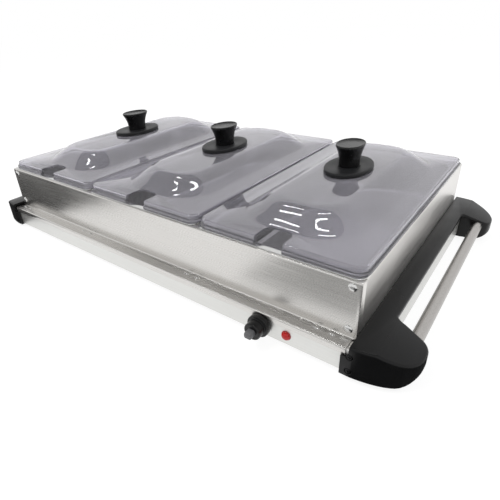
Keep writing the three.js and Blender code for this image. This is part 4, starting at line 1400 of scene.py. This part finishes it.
@dataclass
class EndCap:
    """Moulded end cap with two arms, and the tube handle between them."""

    side: Side
    wall: float = 3.0
    fit: float = 0.3
    arm_width: float = 56.6
    arm_corner: float = 34.0
    arm_flare: float = 6.0
    tip_drop: float = 10.0
    tip_round: float = 12.0
    tip_rise: float = 9.0
    rail_overhang: float = 1.3
    rail_fillet: float = 8.0
    top_round: float = 2.2
    low_round: float = 1.2
    tube_wall: float = 1.0
    socket_depth: float = 13.0
    boss_radius: float = 5.3
    stem_radius: float = 2.8
    stem_reach: float = 10.3

    def __post_init__(self) -> None:
        """Read the cap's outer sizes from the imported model; it is built as the right one."""
        low, self.high = cad_box("right_end_cap")
        self.start_x, self.low_z = low.x, low.z
        self.housing = cad_box("base_housing")[1]
        self.plate_top = cad_box("warming_plate")[1].z
        self.frame_x = cad_box("frame_right_panel")[1].x
        self.lip = cad_box("frame_back_panel")
        self.inner_y = self.high.y - self.arm_width
        self.rail_x = self.housing.x + self.rail_overhang
        tube = cad_box("right_handle_tube")
        self.tube_middle = (tube[0] + tube[1]) / 2
        self.tube_radius = (tube[1].x - tube[0].x) / 2

    def outline(self) -> list[Point]:
        """Give the cap's plan outline: two arms joined by the rail."""
        tip, side_y = self.high.x, -self.high.y
        flared = -self.inner_y - self.arm_flare
        bend_x = self.frame_x + 3.3
        half = [
            (self.start_x, side_y),
            *curve(
                (bend_x, side_y),
                (tip - self.arm_corner * 0.75, side_y + 2),
                (tip, side_y + self.arm_corner * 0.28),
                (tip, side_y + self.arm_corner),
                16,
            ),
            *round_turn(
                (tip, flared - self.tip_round),
                (tip, flared),
                (tip - self.tip_round * 0.8, flared + 2),
                8,
            ),
            *round_turn(
                (self.rail_x + self.rail_fillet, -self.inner_y),
                (self.rail_x, -self.inner_y),
                (self.rail_x, -self.inner_y + self.rail_fillet),
                8,
            ),
        ]
        return [*half, *((x, -y) for x, y in reversed(half))]

    def sloped(self, bm: BMesh) -> BMesh:
        """Slope the top down and the underside up towards the arms' tips."""
        start, tip = self.rail_x + 2, self.high.x - 2
        lift_from = self.high.x - 15
        for x in (start, start + 5, lift_from, lift_from + 4, lift_from + 8, lift_from + 11.5):
            bmesh.ops.bisect_plane(
                bm,
                geom=bm.verts[:] + bm.edges[:] + bm.faces[:],
                plane_co=(x, 0, 0),
                plane_no=(1, 0, 0),
            )
        middle = (self.low_z + self.high.z) / 2

        def shift(co: Vector) -> Vector:
            """Lower a point of the top, or raise one of the underside."""
            if co.z > middle:
                share = min(max((co.x - start) / (tip - start), 0), 1)
                return Vector((co.x, co.y, co.z - self.tip_drop * share))
            share = min(max((co.x - lift_from) / 15, 0), 1)
            return Vector((co.x, co.y, co.z + self.tip_rise * share * share))

        spread(bm.verts, shift)
        return bm

    def hollow(self, facing: Facing) -> BMesh:
        """Build the hollow under one arm, round the foot's boss and the tube's socket."""
        start = self.housing.x + self.fit + self.wall
        tip, inner = self.high.x - self.wall, self.inner_y + self.wall
        outline = [
            *curve(
                (start, -self.high.y + 2 * self.wall),
                (self.high.x - self.arm_corner * 0.6, -self.high.y + 2.4 * self.wall),
                (tip, -self.high.y + self.arm_corner * 0.5),
                (tip, -self.high.y + self.arm_corner),
                12,
            ),
            (tip, -inner - self.arm_flare - self.wall),
            (self.rail_x + self.rail_fillet, -inner - 1),
            (start, -inner - 1),
        ]
        ceiling = self.high.z - self.tip_drop - self.wall
        space = slab(outline, self.low_z - 1, ceiling)
        foot = cad_box("foot_front_right")
        centre = (foot[0] + foot[1]) / 2
        boss = placed(
            rod(self.boss_radius, 0, self.high.z, 32),
            LEVEL,
            (centre.x, centre.y, 0),
        )
        reach = self.socket_depth + self.wall
        radius = self.tube_radius + self.fit + self.wall
        socket = placed(
            rod(radius, 0, reach, 40),
            TO_FRONT,
            (self.tube_middle.x, -self.inner_y, self.tube_middle.z),
        )
        space = carved(space, boss, socket)
        if facing is Facing.BACK:
            bmesh.ops.scale(space, vec=(1, -1, 1), verts=space.verts[:])
        return tidy(space)

    def holes(self, facing: Facing) -> list[BMesh]:
        """Build the cutters of one arm's screw recesses, foot hole and tube bore."""
        turn = OUTWARD[facing]
        cutters = []
        for number in (1, 2):
            low, high = cad_box(f"cap_screw_front_right_{number}")
            middle = (low + high) / 2
            shank = [(0, -5), (1.8, -5), (1.8, -1.5)]
            seat = [(3.0, -1.5), (3.0, -0.4), (3.6, 0.2), (3.6, 1), (0, 1)]
            cutters.append(
                placed(
                    turned([*shank, *seat], 28),
                    turn,
                    (middle.x, facing.value * self.high.y, middle.z),
                )
            )
        radius = self.tube_radius + self.fit
        bore = [
            (0, -10),
            (radius + 0.8, -10),
            (radius + 0.8, 0),
            (radius, 0.8),
            (radius, self.socket_depth + self.fit),
            (0, self.socket_depth + self.fit),
        ]
        place = (self.tube_middle.x, facing.value * self.inner_y, self.tube_middle.z)
        cutters.append(placed(turned(bore, 40), turn, place))
        foot = cad_box("foot_front_right")
        centre = (foot[0] + foot[1]) / 2
        stem = rod(self.stem_radius, -1, self.stem_reach, 24)
        place = (centre.x, -facing.value * centre.y, self.low_z)
        cutters.append(placed(stem, LEVEL, place))
        return cutters

    def pockets(self) -> list[BMesh]:
        """Build the cutters that clear the housing, the frame and its hooked lip."""
        far, wide = self.high.x + 10, self.high.y + 10
        above = self.lip[0].z - self.fit
        top = self.high.z + 1
        inset = self.lip[1].x + self.fit
        return [
            block((0, -wide, above), (inset, wide, top)),
            block(
                (0, -self.frame_y() - self.fit, above),
                (self.frame_x + self.fit, self.frame_y() + self.fit, top),
            ),
            block(
                (0, -self.housing.y - self.fit, self.plate_top - 26),
                (self.housing.x + self.fit, self.housing.y + self.fit, self.plate_top + self.fit),
            ),
            block((0, -self.inner_y, -1), (far, self.inner_y, self.plate_top + self.fit)),
        ]

    def frame_y(self) -> float:
        """Give the frame wall's distance from the middle."""
        return cad_box("frame_right_panel")[1].y + 1.0

    def cap(self) -> bpy.types.Object:
        """Build the moulded cap."""
        solid = slab(self.outline(), self.low_z, self.high.z, self.top_round, self.low_round)
        cutters = self.pockets()
        for facing in Facing:
            cutters.append(self.hollow(facing))
            cutters.extend(self.holes(facing))
        bm = carved(self.sloped(solid), *cutters)
        if self.side is Side.LEFT:
            placed(bm, HALF_TURN, (0, 0, 0))
        name = self.side.word
        return finish_piece(
            f"{name}_cap_moulding", bm, CAP_PLASTIC, "base", [f"{name}_end_cap"], 32.0
        )

    def handle(self) -> bpy.types.Object:
        """Turn the tube between the arms."""
        name = f"{self.side.word}_handle_tube"
        low, high = cad_box(name)
        reach = (high.y - low.y) / 2
        radius, bore = self.tube_radius, self.tube_radius - self.tube_wall
        profile = [
            (bore, -reach),
            (radius - 0.3, -reach),
            (radius, -reach + 0.3),
            (radius, reach - 0.3),
            (radius - 0.3, reach),
            (bore, reach),
            (bore, -reach),
        ]
        middle = (low + high) / 2
        bm = placed(turned(profile, 56), TO_BACK, (middle.x, middle.y, middle.z))
        return finish_piece(f"{name}_bar", bm, TUBE_STEEL, "base", [name])

    def build(self) -> list[bpy.types.Object]:
        """Build the cap and its handle.

        Returns:
            Its pieces.
        """
        return [self.cap(), self.handle()]


@dataclass
class Screws:
    """Cross-recessed screws of the end caps and the bottom cover."""

    head_height: float = 1.2
    shank: float = 1.5
    recess: float = 0.8

    def screw(self, node: str, turn: Matrix, finish: Finish) -> bpy.types.Object:
        """Turn one screw and cut its cross recess.

        Args:
            node: CAD node that it stands for.
            turn: Turn that takes +Z to the way its head faces.
            finish: Finish that it takes.

        Returns:
            The screw.
        """
        low, high = cad_box(node)
        size = high - low
        length, width = max(size), sorted(size)[1]
        radius = width / 2
        profile = [
            (0, -length),
            (self.shank - 0.6, -length),
            (self.shank, -length + 0.9),
            (self.shank, -self.head_height),
            (radius, -self.head_height),
            (radius, -0.4),
            (radius - 0.15, -0.15),
            (radius - 0.5, 0),
            (0, 0),
        ]
        arm, thick = radius * 0.62, radius * 0.14
        bars = [
            block((-arm, -thick, -self.recess), (arm, thick, 1)),
            block((-thick, -arm, -self.recess), (thick, arm, 1)),
        ]
        bm = carved(turned(profile, 28), *bars)
        middle = (low + high) / 2
        way = turn @ Vector((0, 0, 1))
        placed(bm, turn, middle + way * length / 2)
        return finish_piece(f"{node}_cross", bm, finish, "base", [node], 30.0)

    def build(self) -> list[bpy.types.Object]:
        """Build every screw that shows.

        Returns:
            The screws.
        """
        down = Matrix.Rotation(math.pi, 3, "X")
        pieces = []
        for facing in Facing:
            turn = OUTWARD[facing]
            name = facing.word
            pieces.append(self.screw(f"cover_screw_{name}", down, ZINC_STEEL))
            for side in Side:
                for number in (1, 2):
                    node = f"cap_screw_{name}_{side.word}_{number}"
                    pieces.append(self.screw(node, turn, BLACK_STEEL))
        return pieces


@dataclass
class Controls:
    """Temperature knob and red indicator lamp on the front wall."""

    skirt: float = 5.0
    drum: float = 9.0
    drum_inset: float = 2.8
    tip_size: tuple[float, float] = (8.0, 6.5)
    flutes: int = 30

    def knob(self) -> list[bpy.types.Object]:
        """Build the knob: a fluted skirt, a drum to turn it by and a pale pointer tip."""
        low, high = cad_box("control_knob")
        middle = (low + high) / 2
        radius = (high.x - low.x) / 2
        depth = high.y - low.y
        drum = radius - self.drum_inset
        face = self.skirt + self.drum
        profile = [
            (0, 0.6),
            (radius - 1.6, 0.6),
            (radius - 1.6, 0),
            *arc((radius - 0.6, 0.6), 0.6, -90, 0, 3),
            *arc((radius - 0.9, self.skirt - 0.9), 0.9, 0, 90, 6),
            (drum + 0.5, self.skirt),
            (drum, self.skirt + 0.5),
            *arc((drum - 1.3, face - 1.3), 1.3, 0, 90, 6),
            (drum - 2.1, face),
            (drum - 2.5, face - 0.5),
            (0, face - 0.5),
        ]
        bm = turned(profile, 4 * self.flutes)

        def flute(co: Vector) -> Vector:
            """Draw every second facet of the skirt's side in, to leave fine ribs."""
            out = math.hypot(co.x, co.y)
            if out < radius - 0.9 or not 0.8 < co.z < self.skirt - 0.5:
                return co
            turn = math.atan2(co.y, co.x) * self.flutes
            pull = 1 - 0.25 * (0.5 + 0.5 * math.cos(turn)) / out
            return Vector((co.x * pull, co.y * pull, co.z))

        spread(bm.verts, flute)
        half_x, half_z = (size / 2 for size in self.tip_size)
        corner = 2.2
        outline = [
            *arc((half_x - corner, half_z - corner), corner, 0, 90, 6),
            *arc((corner - half_x, half_z - corner), corner, 90, 180, 6),
            *arc((corner - half_x, corner - half_z), corner, 180, 270, 6),
            *arc((half_x - corner, corner - half_z), corner, 270, 360, 6),
        ]
        tip = slab(outline, face - 1, depth, 1.4)
        body = placed(bm, TO_FRONT, (middle.x, high.y, middle.z))
        placed(tip, TO_FRONT, (middle.x, high.y, middle.z))
        node = "control_knob"
        return [
            finish_piece("temperature_knob", body, GRIP_PLASTIC, node, [node], 30.0),
            finish_piece("knob_pointer_tip", tip, POINTER_PLASTIC, node, [node], 30.0),
        ]

    def lens(self) -> bpy.types.Object:
        """Turn the red lens: flange, dome and hollow barrel."""
        low, high = cad_box("indicator_lens")
        middle = (low + high) / 2
        radius = (high.x - low.x) / 2
        wall = -cad_box("base_housing")[0].y
        rise = wall * -1 - low.y
        dome = [
            ((radius - 0.5) * cosine, 1 + (rise - 1) * sine)
            for cosine, sine in quarter(10)[:-1]
        ]
        profile = [
            (0, 1.0),
            (2.6, 1.0),
            (2.6, wall * -1 - high.y),
            (3.6, wall * -1 - high.y),
            (3.6, 0),
            (radius - 0.2, 0),
            (radius, 0.2),
            (radius, 0.6),
            (radius - 0.3, 0.85),
            *dome,
            (0, rise),
        ]
        bm = placed(turned(profile, 48), TO_FRONT, (middle.x, -wall, middle.z))
        return finish_piece("red_lens", bm, LENS_PLASTIC, "base", ["indicator_lens"])

    def build(self) -> list[bpy.types.Object]:
        """Build the controls.

        Returns:
            Their pieces.
        """
        dress_node("thermostat_shaft", ZINC_STEEL)
        return [*self.knob(), self.lens()]


# ---------------------------------------------------------------- studio and view


@dataclass
class Studio:
    """Pale floor, white surround, soft lamps, and cards that only reflections show: painted dark
    reflections and painted highlights.
    """

    surround: float = 0.5
    floor_glow: float = 0.9
    card_tone: float = 0.06
    front_tone: float = 0.4
    strip_tone: float = 20.0
    strip_shift: float = -0.55
    strip_turn_deg: float = 39.0
    eye_level: float = 1.0
    under_lids: float = 0.62
    key_energy: float = 9.0
    fill_energy: float = 3.0

    def world(self) -> None:
        """Make the surround white to the eye and softer as light.

        It is white in reflections and through plastic too, but dimmed for rays that have
        crossed a lid and bounced in a pan.
        """
        world = bpy.data.worlds.new("white_surround")
        bpy.context.scene.world = world
        world.use_nodes = True
        tree = world.node_tree
        tree.nodes.clear()
        seen = add_node(tree, "ShaderNodeLightPath")
        first = add_node(
            tree,
            "ShaderNodeMath",
            {"operation": "MAXIMUM"},
            {0: seen.outputs["Is Camera Ray"], 1: seen.outputs["Is Glossy Ray"]},
        )
        both = add_node(
            tree,
            "ShaderNodeMath",
            {"operation": "MAXIMUM"},
            {0: first.outputs["Value"], 1: seen.outputs["Is Transmission Ray"]},
        )
        strength = add_node(
            tree,
            "ShaderNodeMapRange",
            inputs={"Value": both.outputs["Value"], "To Min": self.surround, "To Max": 1.0},
        )
        crossed = add_node(
            tree,
            "ShaderNodeMath",
            {"operation": "MULTIPLY"},
            {0: seen.outputs["Transmission Depth"], 1: seen.outputs["Glossy Depth"]},
        )
        inside = add_node(
            tree,
            "ShaderNodeMapRange",
            inputs={
                "Value": crossed.outputs["Value"],
                "From Min": 1.0,
                "From Max": 3.0,
                "To Min": 1.0,
                "To Max": self.under_lids,
            },
        )
        light = add_node(
            tree,
            "ShaderNodeMath",
            {"operation": "MULTIPLY"},
            {0: strength.outputs["Result"], 1: inside.outputs["Result"]},
        )
        back = add_node(
            tree,
            "ShaderNodeBackground",
            inputs={"Color": linear("FFFFFF"), "Strength": light.outputs["Value"]},
        )
        add_node(tree, "ShaderNodeOutputWorld", inputs={"Surface": back.outputs["Background"]})

    def plane(self, name: str, size: Point) -> tuple[bpy.types.Object, bpy.types.NodeTree]:
        """Lay a plane of the studio, with an empty material of its own.

        Args:
            name: Name of the plane and of its material.
            size: Its width and height, in metres.

        Returns:
            The plane and its material's nodes.
        """
        bm = bmesh.new()
        bmesh.ops.create_grid(bm, x_segments=1, y_segments=1, size=0.5)
        bmesh.ops.scale(bm, vec=(*size, 1), verts=bm.verts[:])
        mesh = bpy.data.meshes.new(name)
        bm.to_mesh(mesh)
        bm.free()
        material = bpy.data.materials.new(name)
        material.use_nodes = True
        material.node_tree.nodes.clear()
        mesh.materials.append(material)
        plane = bpy.data.objects.new(name, mesh)
        bpy.context.scene.collection.objects.link(plane)
        return plane, material.node_tree

    def glow(self, tree: bpy.types.NodeTree, strength: float) -> bpy.types.NodeSocket:
        """Give a white glow of a strength."""
        inputs = {"Color": linear("FFFFFF"), "Strength": strength}
        return add_node(tree, "ShaderNodeEmission", inputs=inputs).outputs["Emission"]

    def floor(self) -> None:
        """Lay a white floor that keeps the server's shadow."""
        tree = self.plane("studio_floor", (12.0, 12.0))[1]
        matt = add_node(tree, "ShaderNodeBsdfDiffuse", inputs={"Color": (0.2, 0.2, 0.2, 1.0)})
        plain = add_node(tree, "ShaderNodeBsdfDiffuse", inputs={"Color": linear("F2F2F2")})
        seen = add_node(tree, "ShaderNodeLightPath")
        inputs = {0: self.glow(tree, self.floor_glow), 1: matt.outputs["BSDF"]}
        both = add_node(tree, "ShaderNodeAddShader", inputs=inputs)
        inputs = {0: seen.outputs["Is Diffuse Ray"], 1: both.outputs[0], 2: plain.outputs[0]}
        mixed = add_node(tree, "ShaderNodeMixShader", inputs=inputs)
        add_node(tree, "ShaderNodeOutputMaterial", inputs={"Surface": mixed.outputs[0]})

    def lamp(self, name: str, place: Sequence[float], size: Point, energy: float) -> None:
        """Hang a soft rectangular lamp that faces the server.

        Args:
            name: Name of the lamp.
            place: Where it hangs, in metres.
            size: Its width and height, in metres.
            energy: Its power in watts.
        """
        data = bpy.data.lights.new(name, "AREA")
        data.shape = "RECTANGLE"
        data.size, data.size_y = size
        data.energy = energy
        lamp = bpy.data.objects.new(name, data)
        lamp.location = place
        lamp.rotation_euler = (-Vector(place)).to_track_quat("-Z", "Y").to_euler()
        lamp.visible_glossy = False
        lamp.visible_transmission = False
        bpy.context.scene.collection.objects.link(lamp)

    def card(
        self,
        name: str,
        place: Sequence[float],
        size: Point,
        tone: float,
        turn_deg: float = 0.0,
    ) -> None:
        """Set up a card that only polished faces mirror, as a painted reflection; it looks down if
        it hangs high.

        Args:
            name: Name of the card.
            place: Its centre, in metres.
            size: Its width and height, in metres.
            tone: Brightness of its face.
            turn_deg: Turn of its width from the X axis.
        """
        card, tree = self.plane(name, size)
        add_node(tree, "ShaderNodeOutputMaterial", inputs={"Surface": self.glow(tree, tone)})
        card.location = place
        flat = Matrix.Rotation(math.pi if place[2] > self.eye_level else 0, 3, "X")
        card.rotation_euler = (Matrix.Rotation(math.radians(turn_deg), 3, "Z") @ flat).to_euler()
        card.visible_camera = False
        card.visible_diffuse = False
        card.visible_shadow = False
        card.visible_transmission = False

    def build(self) -> None:
        """Set up the studio."""
        self.world()
        self.floor()
        # Dark cards overhead and on the floor, seen only in reflections: painted dark reflections
        # on the front wall's left end, the caps' sides, the tube and the lids.
        self.card("ceiling_card", (-0.9, -0.25, 3.2), (5.4, 2.7), self.card_tone)
        self.card("floor_card", (-0.66, -0.32, 0.002), (0.66, 0.5), self.card_tone)
        self.card("front_card", (0.24, -0.44, 0.002), (0.3, 0.4), self.front_tone)
        for side in Side:
            place = (side.value * 0.37, -0.24, 0.004)
            self.card(f"{side.word}_cap_card", place, (0.21, 0.28), self.card_tone)
        # Bright strips seen only in reflections: painted highlight streaks on the lids' domes.
        for number, shift in enumerate((0.0, self.strip_shift)):
            left, right = (-1.34, 0.13 + shift, 3.0), (0.15, 0.46 + shift, 3.0)
            self.card(f"left_strip_{number}", left, (0.5, 0.09), self.strip_tone)
            self.card(
                f"right_strip_{number}", right, (0.9, 0.09), self.strip_tone, self.strip_turn_deg
            )
        self.lamp("key_softbox", (-0.5, -0.5, 1.3), (0.9, 0.6), self.key_energy)
        self.lamp("fill_softbox", (0.9, 0.3, 1.2), (0.9, 0.9), self.fill_energy)
        bpy.context.scene.view_settings.view_transform = "Standard"


@dataclass
class View:
    """The camera, at the height and turn that the server is shown from."""

    place: tuple[float, float, float] = (0.35171, -0.42290, 0.27443)
    turn_deg: tuple[float, float, float] = (61.58, 2.32, 37.02)
    lens_mm: float = 29.886
    shift: Point = (0.02556, -0.02538)

    def build(self) -> None:
        """Set up the camera."""
        data = bpy.data.cameras.new("view")
        data.lens = self.lens_mm
        data.sensor_width = 36
        data.shift_x, data.shift_y = self.shift
        data.clip_start = 0.01
        camera = bpy.data.objects.new("view", data)
        camera.location = self.place
        camera.rotation_euler = Euler([math.radians(a) for a in self.turn_deg], "XYZ")
        bpy.context.scene.collection.objects.link(camera)
        bpy.context.scene.camera = camera


def main() -> None:
    """Build the studio, the view and every sub-assembly, and report each piece."""
    logging.basicConfig(level=logging.INFO, format="%(message)s")
    Studio().build()
    View().build()
    places = ("left", "middle", "right")
    assemblies = [
        PanFrame(),
        *(FoodPan(place) for place in places),
        *(ClearLid(place) for place in places),
        *(LidGrip(place) for place in places),
        WarmingBase(),
        *(EndCap(side) for side in Side),
        Screws(),
        Controls(),
    ]
    for assembly in assemblies:
        pieces = assembly.build()
        LOG.info("%s: %d pieces", type(assembly).__name__, len(pieces))


if __name__ == "__main__":
    main()
